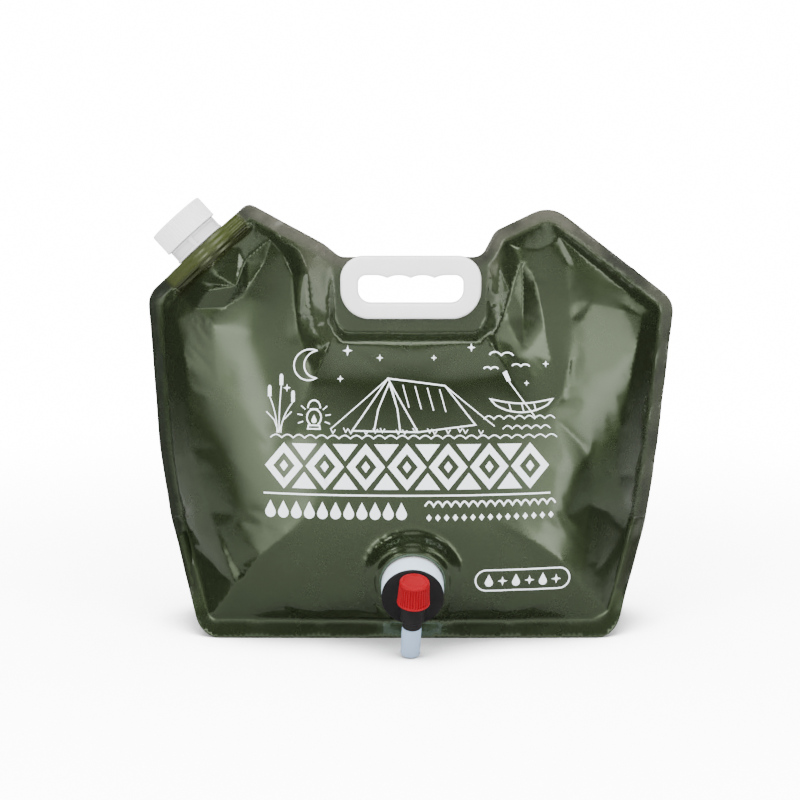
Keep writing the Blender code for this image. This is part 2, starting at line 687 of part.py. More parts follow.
def make_gusset():
    """The base film, folded up between the panels: welded strips, triangular ends and a flat base."""
    outer, inner = seam_loops()
    slope = math.atan(BASE_HALF_DEPTH / SPLIT_HEIGHT)
    top = SPLIT_HEIGHT * (1 - GUSSET_START_OPENING / BASE_HALF_DEPTH)
    below = [max(a.imag, b.imag) < top for a, b in zip(outer, inner)]
    first = max(k for k in range(len(below)) if not below[k]) + 1
    order = list(range(first, len(below))) + list(range(below.index(False)))
    rows = []
    for k in order:
        edge, line = outer[k], inner[k]
        trimmed = edge + unit(line - edge) * GUSSET_TRIM
        outwards = unit(edge - line)
        amount = GUSSET_WALL_BULGE * leg_forward(line.imag) / BASE_HALF_DEPTH
        amount += (line.imag - FILM_GAUGE - amount) * max(0.0, -outwards.imag) ** 4
        half = []
        for share in GUSSET_ROWS:
            drop = 1 - (max(0.0, share - GUSSET_FLAT_SHARE) / (1 - GUSSET_FLAT_SHARE)) ** 2
            spot = line + outwards * amount * drop
            low = max(spot.imag, FILM_GAUGE)
            half.append((spot.real, share * gusset_forward(line.imag, slope), low))
        half += [(line.real, gusset_forward(line.imag, slope), line.imag),
                 (trimmed.real, gusset_forward(trimmed.imag, slope), trimmed.imag)]
        rows.append([(x, -y, z) for x, y, z in half[:0:-1]] + half)
    width = len(rows[0])
    points = [point for row in rows for point in row]
    faces = []
    for k in range(len(rows) - 1):
        for j in range(width - 1):
            start = k * width + j
            faces.append((start, start + 1, start + width + 1, start + width))
    film_solid("base_gusset", points, faces)


def gusset_forward(height, slope):
    """The gusset's inside face lies just behind the inside face of the front panel."""
    return leg_forward(height) + WELD_GAP / 2 - WELD_GAP / math.cos(slope)


# Carry handle


def handle_half(seat, end_rings):
    """Loops round one half: outside, rounded face, grip, and what passes through or meets the film."""
    face = seat + HANDLE_THICKNESS
    rounding = HANDLE_EDGE_ROUNDING
    eased = rounding * (1 - math.sqrt(0.5))
    rings = [(handle_loop(0.0, of_grip=False), seat),
             (handle_loop(0.0, of_grip=False), face - rounding),
             (handle_loop(-eased, of_grip=False), face - eased),
             (handle_loop(-rounding, of_grip=False), face),
             (handle_loop(rounding, FINGER_RIDGE_DEPTH), face),
             (handle_loop(eased, FINGER_RIDGE_DEPTH), face - eased),
             (handle_loop(0.0, FINGER_RIDGE_DEPTH), face - rounding)] + end_rings
    return rings


def make_handle():
    """Front half with a collar through the film, rear half with the recess that the collar clips into."""
    seat = WELD_GAP / 2 + FILM_GAUGE + SEAT_CLEARANCE
    collar_end = -seat - COLLAR_REACH
    recess = seat + COLLAR_REACH + SEAT_CLEARANCE
    front = handle_half(seat, [(handle_loop(0.0, FINGER_RIDGE_DEPTH), collar_end),
                               (handle_loop(COLLAR_WALL), collar_end),
                               (handle_loop(COLLAR_WALL), seat)])
    rear = handle_half(seat, [(handle_loop(0.0, FINGER_RIDGE_DEPTH), recess),
                              (handle_loop(COLLAR_WALL + SEAT_CLEARANCE), recess),
                              (handle_loop(COLLAR_WALL + SEAT_CLEARANCE), seat)])
    for name, side, rings in (("handle_front", -1, front), ("handle_rear", 1, rear)):
        shape = ringed([[(p.real, side * y, p.imag) for p in loop] for loop, y in rings])
        piece(name, shape, WHITE_PLASTIC)


# Filler


def filler_frame():
    """Empty on the filler's axis: its Z points out of the shoulder and its X along the seam."""
    middle, along = seam_of_spout()
    return frame_empty("filler_axis", (middle.real, 0.0, middle.imag), (0.0, -cmath.phase(along), 0.0))


def boat_shape():
    """The pointed weld boat with ribs along its two faces, as far as the film's edge."""
    pitch = BOAT_DEPTH / BOAT_RIBS
    levels = []
    for rib in range(BOAT_RIBS):
        top = -rib * pitch
        foot = top - pitch * BOAT_RIB_SHARE
        levels += [(top, 0.0), (foot, 0.0)]
        if rib < BOAT_RIBS - 1:
            levels += [(foot - BOAT_RIB_HEIGHT / 2, BOAT_RIB_HEIGHT),
                       (top - pitch + BOAT_RIB_HEIGHT / 2, BOAT_RIB_HEIGHT)]
    levels.append((-BOAT_DEPTH, 0.0))
    offsets = [BOAT_HALF_LENGTH * (2 * k / BOAT_STATIONS - 1) for k in range(BOAT_STATIONS + 1)]
    shape = bmesh.new()
    rows = []
    for level, groove in levels:
        front = []
        for offset in offsets:
            thickness = boat_half_thickness(offset)
            front.append((offset, thickness - min(groove, thickness / 3)))
        around = [(x, -y) for x, y in front] + [(x, y) for x, y in reversed(front)]
        rows.append([shape.verts.new((x, y, level)) for x, y in around])
    for row, following in zip(rows, rows[1:]):
        for k in range(len(row)):
            after = (k + 1) % len(row)
            shape.faces.new((row[k], row[after], following[after], following[k]))
    shape.faces.new(rows[0])
    shape.faces.new(rows[-1])
    bmesh.ops.recalc_face_normals(shape, faces=shape.faces[:])
    return shape


def spout_top():
    """Height of the filler's rim above the film's edge, just under the liner in the closed cap."""
    return CAP_BOTTOM + CAP_HEIGHT - CAP_TOP_WALL - LINER_THICKNESS - 2 * SEAT_CLEARANCE


def make_filler(axis):
    """Filler spout, its screw cap and the sealing liner in the cap."""
    spout = piece("fill_spout", boat_shape(), MILKY_PLASTIC, axis)
    bead_low = SPOUT_BEAD_HEIGHT - SPOUT_BEAD_THICKNESS
    flange_top = SPOUT_FLANGE_GAP + SPOUT_FLANGE_THICKNESS
    root_radius = SPOUT_BORE_RADIUS + BORE_OVERRUN / 2
    neck = [(0.0, -BOAT_DEPTH / 2), (root_radius, -BOAT_DEPTH / 2),
            (root_radius, SPOUT_FLANGE_GAP), (SPOUT_FLANGE_RADIUS, SPOUT_FLANGE_GAP),
            (SPOUT_FLANGE_RADIUS, flange_top), (SPOUT_LUG_RADIUS, flange_top), (SPOUT_LUG_RADIUS, bead_low),
            (SPOUT_LUG_RADIUS, SPOUT_BEAD_HEIGHT), (SPOUT_FINISH_RADIUS, SPOUT_BEAD_HEIGHT),
            (SPOUT_FINISH_RADIUS, spout_top()), (0.0, spout_top())]
    lugs = turned(neck, SPOUT_LUGS * SPOUT_LUG_STEPS, grooved=(5, 6),
                  groove=SPOUT_LUG_RADIUS - SPOUT_CORE_RADIUS, period=SPOUT_LUG_STEPS, crest=2)
    combine(spout, guide("filler_neck_form", lugs, axis), "UNION")
    bore = rod(SPOUT_BORE_RADIUS, -BOAT_DEPTH - BORE_OVERRUN, spout_top() + BORE_OVERRUN)
    combine(spout, guide("filler_bore_cutter", bore, axis), "DIFFERENCE")

    inside = CAP_RADIUS - CAP_WALL
    top = CAP_BOTTOM + CAP_HEIGHT
    ceiling = top - CAP_TOP_WALL
    cap = [(inside, CAP_BOTTOM), (CAP_RADIUS, CAP_BOTTOM), (CAP_RADIUS, top - CAP_EDGE_ROUNDING),
           (CAP_RADIUS - CAP_EDGE_ROUNDING, top), (0.0, top), (0.0, ceiling), (inside, ceiling)]
    fluted = turned(cap, 2 * CAP_FLUTES, grooved=(1, 2), groove=CAP_FLUTE_DEPTH)
    piece("fill_cap", fluted, WHITE_PLASTIC, axis)
    liner_low = ceiling - SEAT_CLEARANCE - LINER_THICKNESS
    liner = rod(inside - LINER_SIDE_CLEARANCE, liner_low, liner_low + LINER_THICKNESS)
    piece("cap_liner", liner, RUBBER, axis)


# Outlet and tap


def outlet_cap_span():
    """Back and front of the outlet cap along the tap's axis, from the inside face of the film."""
    back = OUTLET_SHOULDER_LENGTH + SEAT_CLEARANCE
    return back, back + OUTLET_CAP_LENGTH


def make_outlet(axis):
    """Welded outlet spout, its gasket and the screw cap that carries the tap."""
    back, front = outlet_cap_span()
    wall = front - OUTLET_CAP_WALL
    gasket_back = wall - SEAT_CLEARANCE - GASKET_THICKNESS
    neck_end = gasket_back - SEAT_CLEARANCE
    inside = OUTLET_CAP_RADIUS - OUTLET_CAP_WALL
    neck_radius = inside - OUTLET_THREAD_CLEARANCE
    weld_front = -WELD_GAP
    weld_back = weld_front - OUTLET_FLANGE_THICKNESS
    spout = [(OUTLET_BORE_RADIUS, weld_back), (OUTLET_FLANGE_RADIUS, weld_back),
             (OUTLET_FLANGE_RADIUS, weld_front), (OUTLET_SHOULDER_RADIUS, weld_front),
             (OUTLET_SHOULDER_RADIUS, OUTLET_SHOULDER_LENGTH), (neck_radius, OUTLET_SHOULDER_LENGTH),
             (neck_radius, neck_end), (OUTLET_BORE_RADIUS, neck_end)]
    piece("outlet_spout", turned(spout, forward=True), MILKY_PLASTIC, axis)
    ring = [(OUTLET_BORE_RADIUS, gasket_back), (inside - GASKET_SIDE_CLEARANCE, gasket_back),
            (inside - GASKET_SIDE_CLEARANCE, gasket_back + GASKET_THICKNESS),
            (OUTLET_BORE_RADIUS, gasket_back + GASKET_THICKNESS)]
    piece("spout_gasket", turned(ring, forward=True), RUBBER, axis)
    hole = TAIL_RADIUS + TAIL_CLEARANCE
    cap = [(inside, back), (OUTLET_CAP_RADIUS, back), (OUTLET_CAP_RADIUS, front - OUTLET_CAP_ROUNDING),
           (OUTLET_CAP_RADIUS - OUTLET_CAP_ROUNDING, front), (hole, front), (hole, wall), (inside, wall)]
    piece("outlet_cap", turned(cap, forward=True), WHITE_PLASTIC, axis)


def make_tap_fixing(axis):
    """The washer and hexagon nut that hold the tap's tail inside the outlet cap."""
    _, front = outlet_cap_span()
    wall = front - OUTLET_CAP_WALL
    hole = TAIL_RADIUS + TAIL_CLEARANCE
    washer_back = wall - SEAT_CLEARANCE - BACK_WASHER_THICKNESS
    washer = [(hole, washer_back), (BACK_WASHER_RADIUS, washer_back),
              (BACK_WASHER_RADIUS, washer_back + BACK_WASHER_THICKNESS),
              (hole, washer_back + BACK_WASHER_THICKNESS)]
    piece("back_washer", turned(washer, SMALL_ROUND_STEPS, True), RUBBER, axis)
    nut_front = washer_back - SEAT_CLEARANCE
    nut_back = nut_front - BACK_NUT_THICKNESS
    nut = piece("back_nut", rod(BACK_NUT_ACROSS_FLATS / math.sqrt(3), nut_back, nut_front, 6, True),
                BLACK_PLASTIC, axis)
    cutter = rod(hole, nut_back - BORE_OVERRUN, nut_front + BORE_OVERRUN, SMALL_ROUND_STEPS, True)
    combine(nut, guide("nut_hole_cutter", cutter, axis), "DIFFERENCE")
    return nut_back - TAIL_BEYOND_NUT


def make_tap_body(axis, barrel_axis, tail_end):
    """Disc, tail, arm and barrel in one moulding, with the water way bored through it."""
    _, front = outlet_cap_span()
    disc_back = front + SEAT_CLEARANCE
    disc_front = disc_back + TAP_FLANGE_THICKNESS
    barrel_at = disc_front + BARREL_REACH
    disc = [(0.0, tail_end), (TAIL_RADIUS, tail_end), (TAIL_RADIUS, disc_back),
            (TAP_FLANGE_RADIUS, disc_back), (TAP_FLANGE_RADIUS, disc_front), (ARM_RADIUS, disc_front),
            (ARM_RADIUS, barrel_at), (0.0, barrel_at)]
    body = piece("tap_body", turned(disc, forward=True), BLACK_PLASTIC, axis)
    socket_end = -BARREL_BOTTOM - SOCKET_LENGTH
    nozzle_end = socket_end - NOZZLE_LENGTH
    barrel = [(0.0, nozzle_end), (NOZZLE_RADIUS, nozzle_end), (NOZZLE_RADIUS, socket_end),
              (SOCKET_RADIUS, socket_end), (SOCKET_RADIUS, -BARREL_BOTTOM), (BARREL_RADIUS, -BARREL_BOTTOM),
              (BARREL_RADIUS, BARREL_TOP), (0.0, BARREL_TOP)]
    combine(body, guide("barrel_form", turned(barrel, SMALL_ROUND_STEPS), barrel_axis), "UNION")
    bore_meets = barrel_at - BARREL_BORE_RADIUS / 2
    cuts = (("barrel_bore_cutter", rod(BARREL_BORE_RADIUS, -SEAT_DEPTH, BARREL_TOP + BORE_OVERRUN,
                                       SMALL_ROUND_STEPS), barrel_axis),
            ("seat_bore_cutter", rod(SEAT_BORE_RADIUS, nozzle_end - BORE_OVERRUN, BORE_OVERRUN - SEAT_DEPTH,
                                     SMALL_ROUND_STEPS), barrel_axis),
            ("tail_bore_cutter", rod(TAIL_BORE_RADIUS, tail_end - BORE_OVERRUN, bore_meets,
                                     SMALL_ROUND_STEPS, True), axis))
    for name, shape, parent in cuts:
        combine(body, guide(name, shape, parent), "DIFFERENCE")

    tube_top = socket_end - TUBE_FIT
    tube_inside = NOZZLE_RADIUS + TUBE_FIT
    tube_outside = tube_inside + TUBE_WALL
    tube = [(tube_inside, tube_top - TUBE_LENGTH), (tube_outside, tube_top - TUBE_LENGTH),
            (tube_outside, tube_top), (tube_inside, tube_top)]
    piece("outlet_tube", turned(tube, SMALL_ROUND_STEPS), CLEAR_TUBE, barrel_axis)


def make_valve(barrel_axis):
    """Rubber plug, stem with its ring seal, and the knob that lifts them as it unscrews."""
    plug_low = -SEAT_DEPTH + SEAT_CLEARANCE
    plug_top = plug_low + PLUG_HEIGHT
    socket = plug_top - PLUG_SOCKET_DEPTH
    socket_radius = STEM_RADIUS + STEM_FIT
    plug = [(0.0, plug_low), (PLUG_RADIUS, plug_low), (PLUG_RADIUS, plug_top), (socket_radius, plug_top),
            (socket_radius, socket), (0.0, socket)]
    piece("valve_plug", turned(plug, SMALL_ROUND_STEPS), RUBBER, barrel_axis)

    groove_radius = PISTON_RADIUS - ORING_GROOVE_DEPTH
    ring_middle = (groove_radius + BARREL_BORE_RADIUS) / 2
    ring_section = (BARREL_BORE_RADIUS - groove_radius) / 2 - ORING_CLEARANCE
    ring_height = PISTON_BOTTOM + PISTON_LENGTH / 2
    groove_half = ring_section + ORING_CLEARANCE
    ring = [(ring_middle + ring_section * math.cos(angle), ring_height + ring_section * math.sin(angle))
            for angle in (2 * math.pi * k / ORING_STEPS for k in range(ORING_STEPS))]
    piece("stem_oring", turned(ring, SMALL_ROUND_STEPS), RUBBER, barrel_axis)

    knob_top = KNOB_BOTTOM + KNOB_HEIGHT
    ceiling = knob_top - KNOB_TOP_WALL
    stem_top = ceiling + STEM_IN_KNOB
    stem_low = socket + STEM_FIT
    piston_top = PISTON_BOTTOM + PISTON_LENGTH
    stem = [(0.0, stem_low), (STEM_RADIUS, stem_low), (STEM_RADIUS, PISTON_BOTTOM),
            (PISTON_RADIUS, PISTON_BOTTOM), (PISTON_RADIUS, ring_height - groove_half),
            (groove_radius, ring_height - groove_half), (groove_radius, ring_height + groove_half),
            (PISTON_RADIUS, ring_height + groove_half), (PISTON_RADIUS, piston_top),
            (STEM_RADIUS, piston_top), (STEM_RADIUS, stem_top), (0.0, stem_top)]
    piece("valve_stem", turned(stem, SMALL_ROUND_STEPS), BLACK_PLASTIC, barrel_axis)

    inside = BARREL_RADIUS + KNOB_THREAD_CLEARANCE
    dish_floor = knob_top - KNOB_DISH_DEPTH
    knob = [(inside, KNOB_BOTTOM), (KNOB_BOTTOM_RADIUS, KNOB_BOTTOM),
            (KNOB_BOTTOM_RADIUS, KNOB_BOTTOM + KNOB_SKIRT_BAND),
            (KNOB_TOP_RADIUS, knob_top - KNOB_EDGE_ROUNDING),
            (KNOB_TOP_RADIUS - KNOB_EDGE_ROUNDING, knob_top), (KNOB_DISH_RADIUS, knob_top),
            (KNOB_DISH_RADIUS - KNOB_DISH_DEPTH, dish_floor), (0.0, dish_floor),
            (0.0, stem_top + STEM_FIT), (socket_radius, stem_top + STEM_FIT), (socket_radius, ceiling),
            (inside, ceiling)]
    fluted = turned(knob, 2 * KNOB_FLUTES, grooved=(2, 3), groove=KNOB_FLUTE_DEPTH)
    piece("tap_knob", fluted, RED_PLASTIC, barrel_axis)


def make_tap():
    """Everything on the tap's drooping axis, and the valve on its barrel's axis."""
    root = (0.0, -TAP_FORWARD, TAP_HEIGHT)
    axis = frame_empty("outlet_axis", root, (TAP_DROOP, 0.0, 0.0))
    roll = frame_empty("tap_roll", (0.0, 0.0, 0.0), (0.0, TAP_ROLL, 0.0), axis)
    _, front = outlet_cap_span()
    barrel_at = front + SEAT_CLEARANCE + TAP_FLANGE_THICKNESS + BARREL_REACH
    barrel_axis = frame_empty("barrel_axis", (0.0, -barrel_at, 0.0), (0.0, 0.0, 0.0), roll)
    make_outlet(axis)
    tail_end = make_tap_fixing(roll)
    make_tap_body(roll, barrel_axis, tail_end)
    make_valve(barrel_axis)


def main():
    for thing in list(bpy.data.objects):
        bpy.data.objects.remove(thing, do_unlink=True)
    make_panels()
    make_gusset()
    make_handle()
    make_filler(filler_frame())
    make_tap()


main()
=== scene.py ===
"""A folding water bag of dark green film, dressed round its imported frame.

Metres, +Z up, and the tap faces -Y. Flat outlines are complex numbers: x + z * 1j.
"""
import cmath
import json
import logging
import math
from dataclasses import dataclass, field
from enum import Enum
from typing import Callable, Iterable, Sequence

import bmesh
import bpy
import numpy as np
from mathutils import Matrix, Vector
from mathutils.bvhtree import BVHTree
from mathutils.geometry import delaunay_2d_cdt

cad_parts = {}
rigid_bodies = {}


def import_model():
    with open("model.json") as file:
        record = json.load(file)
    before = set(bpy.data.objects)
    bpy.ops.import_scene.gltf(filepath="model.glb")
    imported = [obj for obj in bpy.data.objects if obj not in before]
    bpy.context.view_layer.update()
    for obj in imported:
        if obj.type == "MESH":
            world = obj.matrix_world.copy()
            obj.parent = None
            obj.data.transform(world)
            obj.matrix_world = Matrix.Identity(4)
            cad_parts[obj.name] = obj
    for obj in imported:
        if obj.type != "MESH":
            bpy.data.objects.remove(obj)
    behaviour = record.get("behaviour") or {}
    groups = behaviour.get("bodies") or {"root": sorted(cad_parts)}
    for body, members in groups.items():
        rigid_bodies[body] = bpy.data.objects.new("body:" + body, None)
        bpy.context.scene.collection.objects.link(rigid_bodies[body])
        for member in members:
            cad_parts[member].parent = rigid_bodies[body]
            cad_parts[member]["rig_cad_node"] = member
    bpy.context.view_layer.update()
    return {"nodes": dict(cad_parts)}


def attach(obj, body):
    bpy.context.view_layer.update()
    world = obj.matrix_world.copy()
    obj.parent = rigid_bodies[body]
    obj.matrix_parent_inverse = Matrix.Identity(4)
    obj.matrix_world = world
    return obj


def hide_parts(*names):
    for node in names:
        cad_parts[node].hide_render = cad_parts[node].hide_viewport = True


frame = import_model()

MM = 0.001
TINY = 1e-6
NEAR = 1e-5
NO_AREA = 1e-12
SLACK = 1e-9
BATCH = 2000
RIB_ANGLE = 30.0
LOG = logging.getLogger("water_bag")

Pair = tuple[float, float]
Triple = tuple[float, float, float]
Colour = Triple
Ring = Pair
Profile = tuple[Ring, ...]
Corner = tuple[complex, float]
Loop = list[complex]
Fold = tuple[Triple, ...]
Element = bmesh.types.BMVert | bmesh.types.BMEdge | bmesh.types.BMFace
Object = bpy.types.Object
Socket = bpy.types.NodeSocket


class Body(Enum):
    """The bodies of the frame that new pieces ride on."""

    BAG = "bag"
    FILLER_CAP = "filler_cap"
    OUTLET_TAP = "outlet_tap"
    KNOB = "knob"


class Side(Enum):
    """Which face of the bag a panel or a handle half is on."""

    FRONT = -1
    REAR = 1


# Flat pattern of the bag


def unit(step: complex) -> complex:
    """A step of length one in the same direction."""
    return step / abs(step)


@dataclass(frozen=True)
class Pattern:
    """The outline of a panel seen from the front, and the lines welded into it."""

    base: Pair = (0.1570, 0.1505)
    split: Pair = (0.1855, 0.1800)
    split_height: float = 0.080
    waist: tuple[complex, complex] = (-0.1930 + 0.135j, 0.1870 + 0.135j)
    shoulder: tuple[complex, complex] = (-0.1990 + 0.2515j, 0.1975 + 0.2470j)
    horn: tuple[complex, complex] = (-0.1225 + 0.3205j, 0.1035 + 0.3192j)
    horn_foot: tuple[complex, complex] = (-0.0660 + 0.2898j, 0.0620 + 0.2995j)
    web_top: float = 0.2800
    base_radius: float = 0.020
    split_radius: float = 0.030
    waist_radius: float = 0.150
    shoulder_radius: float = 0.018
    horn_radius: float = 0.023
    horn_foot_radius: float = 0.012
    web_corner_radius: float = 0.010
    seam: float = 0.0095
    base_seam: float = 0.0125
    base_half_depth: float = 0.052
    spout_from_corner: float = 0.0552
    boat_half_length: float = 0.036
    boat_half_thickness: float = 0.0185
    boat_tip_half_thickness: float = 0.0006
    boat_depth: float = 0.0156
    handle_centre: float = -0.0010
    handle_size: Pair = (0.1054, 0.0469)
    handle_radii: Pair = (0.0170, 0.0220)
    handle_above: float = 0.0006
    grip_size: Pair = (0.0793, 0.0211)
    grip_radii: Pair = (0.0065, 0.0095)
    grip_below_top: float = 0.0141
    web_margin: Pair = (0.0052, 0.0125)
    web_radius: float = 0.014
    arc_steps: int = 6
    edge_share: float = 0.45
    least_fillet: float = 0.002
    nearly_straight: float = math.radians(89.5)

    def spout_seam(self) -> tuple[complex, complex]:
        """Middle of the filler on the left slanting edge, and that edge's direction."""
        along = unit(self.horn[0] - self.shoulder[0])
        return self.shoulder[0] + along * self.spout_from_corner, along

    def corners(self) -> list[Corner]:
        """(corner, fillet radius) round a panel, anticlockwise from the bottom right corner."""
        half = self.handle_size[0] / 2 + self.web_margin[0] - self.web_corner_radius / 2
        middle, along = self.spout_seam()
        reach = along * self.boat_half_length
        return [
            (complex(self.base[1], 0.0), self.base_radius),
            (complex(self.split[1], self.split_height), self.split_radius),
            (self.waist[1], self.waist_radius),
            (self.shoulder[1], self.shoulder_radius),
            (self.horn[1], self.horn_radius),
            (self.horn_foot[1], self.horn_foot_radius),
            (complex(self.handle_centre + half, self.web_top), self.web_corner_radius),
            (complex(self.handle_centre - half, self.web_top), self.web_corner_radius),
            (self.horn_foot[0], self.horn_foot_radius),
            (self.horn[0], self.horn_radius),
            (middle + reach, 0.0),
            (middle - reach, 0.0),
            (self.shoulder[0], self.shoulder_radius),
            (self.waist[0], self.waist_radius),
            (complex(-self.split[0], self.split_height), self.split_radius),
            (complex(-self.base[0], 0.0), self.base_radius),
        ]

    def fillet(self, before: complex, corner: complex, after: complex,
               radius: float) -> tuple[complex, complex, complex | None]:
        """Tangent points and centre of the arc at a corner.

        Args:
            before: The corner before this one.
            corner: The corner.
            after: The corner after it.
            radius: The wanted radius, which is cut down where the edges are short.

        Returns:
            Where the arc starts and ends, and its centre, or None for a sharp corner.
        """
        back, ahead = unit(before - corner), unit(after - corner)
        half = abs(cmath.phase(ahead / back)) / 2
        if radius == 0.0 or half > self.nearly_straight:
            return corner, corner, None
        room = self.edge_share * min(abs(before - corner), abs(after - corner))
        reach = min(radius / math.tan(half), room)
        centre = corner + unit(back + ahead) * reach / math.cos(half)
        return corner + back * reach, corner + ahead * reach, centre

    def sampled(self, corners: Sequence[Corner], counts: Sequence[int]) -> Loop:
        """Points round a filleted polygon, with so many steps along each straight edge."""
        spots = [spot for spot, _ in corners]
        cuts = [self.fillet(spots[i - 1], spots[i], spots[(i + 1) % len(spots)], corners[i][1])
                for i in range(len(corners))]
        points: Loop = []
        for i, (first, last, centre) in enumerate(cuts):
            if centre is None:
                points.append(first)
            else:
                sweep = cmath.phase((last - centre) / (first - centre))
                points += [centre + (first - centre) * cmath.exp(1j * sweep * k / self.arc_steps)
                           for k in range(self.arc_steps + 1)]
            run = cuts[(i + 1) % len(cuts)][0] - last
            points += [last + run * k / counts[i] for k in range(1, counts[i])]
        return points

    def inset(self, corners: Sequence[Corner], widths: Sequence[float]) -> list[Corner]:
        """The corners of the line inside a polygon, each edge moved in by its own width."""
        moved: list[Corner] = []
        for i, (spot, radius) in enumerate(corners):
            back = unit(spot - corners[i - 1][0])
            ahead = unit(corners[(i + 1) % len(corners)][0] - spot)
            bend = (back.conjugate() * ahead).imag
            shift = 1j * ahead * widths[i]
            if abs(bend) > TINY:
                slide = (widths[i - 1] * (back.conjugate() * ahead).real - widths[i]) / bend
                shift = 1j * back * widths[i - 1] + back * slide
            inner = radius - widths[i] if bend > 0 else radius + widths[i]
            moved.append((spot + shift, max(self.least_fillet, inner) if radius else 0.0))
        return moved

    def seam_loops(self, step: float) -> tuple[Loop, Loop]:
        """The cut edge of the film and the inner line of its seam, with matching points."""
        corners = self.corners()
        spots = [spot for spot, _ in corners]
        counts = [max(1, round(abs(b - a) / step)) for a, b in zip(spots, spots[1:] + spots[:1])]
        widths = [self.seam] * (len(corners) - 1) + [self.base_seam]
        return self.sampled(corners, counts), self.sampled(self.inset(corners, widths), counts)

    def rounded_box(self, size: Pair, radii: Pair, top: float, grow: float, step: float) -> Loop:
        """A box with its own top and bottom radii, hung from a height and grown all round."""
        half = size[0] / 2 + grow
        low, high = top - size[1] - grow, top + grow
        top_radius, bottom_radius = radii[0] + grow, radii[1] + grow
        corners = [(complex(self.handle_centre + half, low), bottom_radius),
                   (complex(self.handle_centre + half, high), top_radius),
                   (complex(self.handle_centre - half, high), top_radius),
                   (complex(self.handle_centre - half, low), bottom_radius)]
        across, up = max(1, round(2 * half / step)), max(1, round((high - low) / step))
        return self.sampled(corners, [up, across, up, across])

    def handle_top(self) -> float:
        """Height of the handle's top edge."""
        return self.web_top + self.handle_above

    def grip_loop(self, grow: float, step: float) -> Loop:
        """The finger opening, grown by so much."""
        return self.rounded_box(self.grip_size, self.grip_radii,
                                self.handle_top() - self.grip_below_top, grow, step)

    def web_loop(self, step: float) -> Loop:
        """The flat patch round the handle, where the panels are welded to each other."""
        half = self.handle_size[0] / 2 + self.web_margin[0]
        low = self.handle_top() - self.handle_size[1] - self.web_margin[1]
        left, right = self.handle_centre - half, self.handle_centre + half
        corners = [(complex(left, self.web_top), 0.0), (complex(left, low), self.web_radius),
                   (complex(right, low), self.web_radius), (complex(right, self.web_top), 0.0)]
        down, across = round((self.web_top - low) / step), round(2 * half / step)
        return self.sampled(corners, [down, across, down, 1])

    def leg_forward(self, height: np.ndarray) -> np.ndarray:
        """How far in front of the middle plane the front seam stands at each height."""
        return self.base_half_depth * np.clip(1.0 - height / self.split_height, 0.0, 1.0)

    def boat_half(self, offset: np.ndarray) -> np.ndarray:
        """Half the thickness of the filler's weld boat at each distance from its middle."""
        share = np.minimum(1.0, np.abs(offset) / self.boat_half_length)
        swell = self.boat_half_thickness - self.boat_tip_half_thickness
        return self.boat_tip_half_thickness + swell * np.cos(math.pi / 2 * share)

    def boat_place(self, points: np.ndarray) -> tuple[np.ndarray, np.ndarray]:
        """Distance along the filler's seam from its middle, and depth below the film's edge."""
        middle, along = self.spout_seam()
        local = (points - middle) / along
        return local.real, -local.imag


def depth_inside(points: Iterable[complex], loop: Sequence[complex]) -> np.ndarray:
    """Distance of each point from a closed loop, negative outside it."""
    spots = np.asarray(list(points), dtype=complex)
    start = np.asarray(loop, dtype=complex)[None, :]
    edge = np.roll(start, -1, axis=1) - start
    found = []
    for part in np.array_split(spots, max(1, len(spots) // BATCH)):
        part = part[:, None]
        along = np.clip(((part - start) * edge.conj()).real / np.abs(edge) ** 2, 0.0, 1.0)
        distance = np.abs(part - start - along * edge).min(axis=1)
        crosses = (start.imag > part.imag) != ((start + edge).imag > part.imag)
        with np.errstate(divide="ignore", invalid="ignore"):
            meets = start.real + (part.imag - start.imag) / edge.imag * edge.real
        inside = (crosses & (part.real < meets)).sum(axis=1) % 2 == 1
        found.append(np.where(inside, distance, -distance))
    return np.concatenate(found)


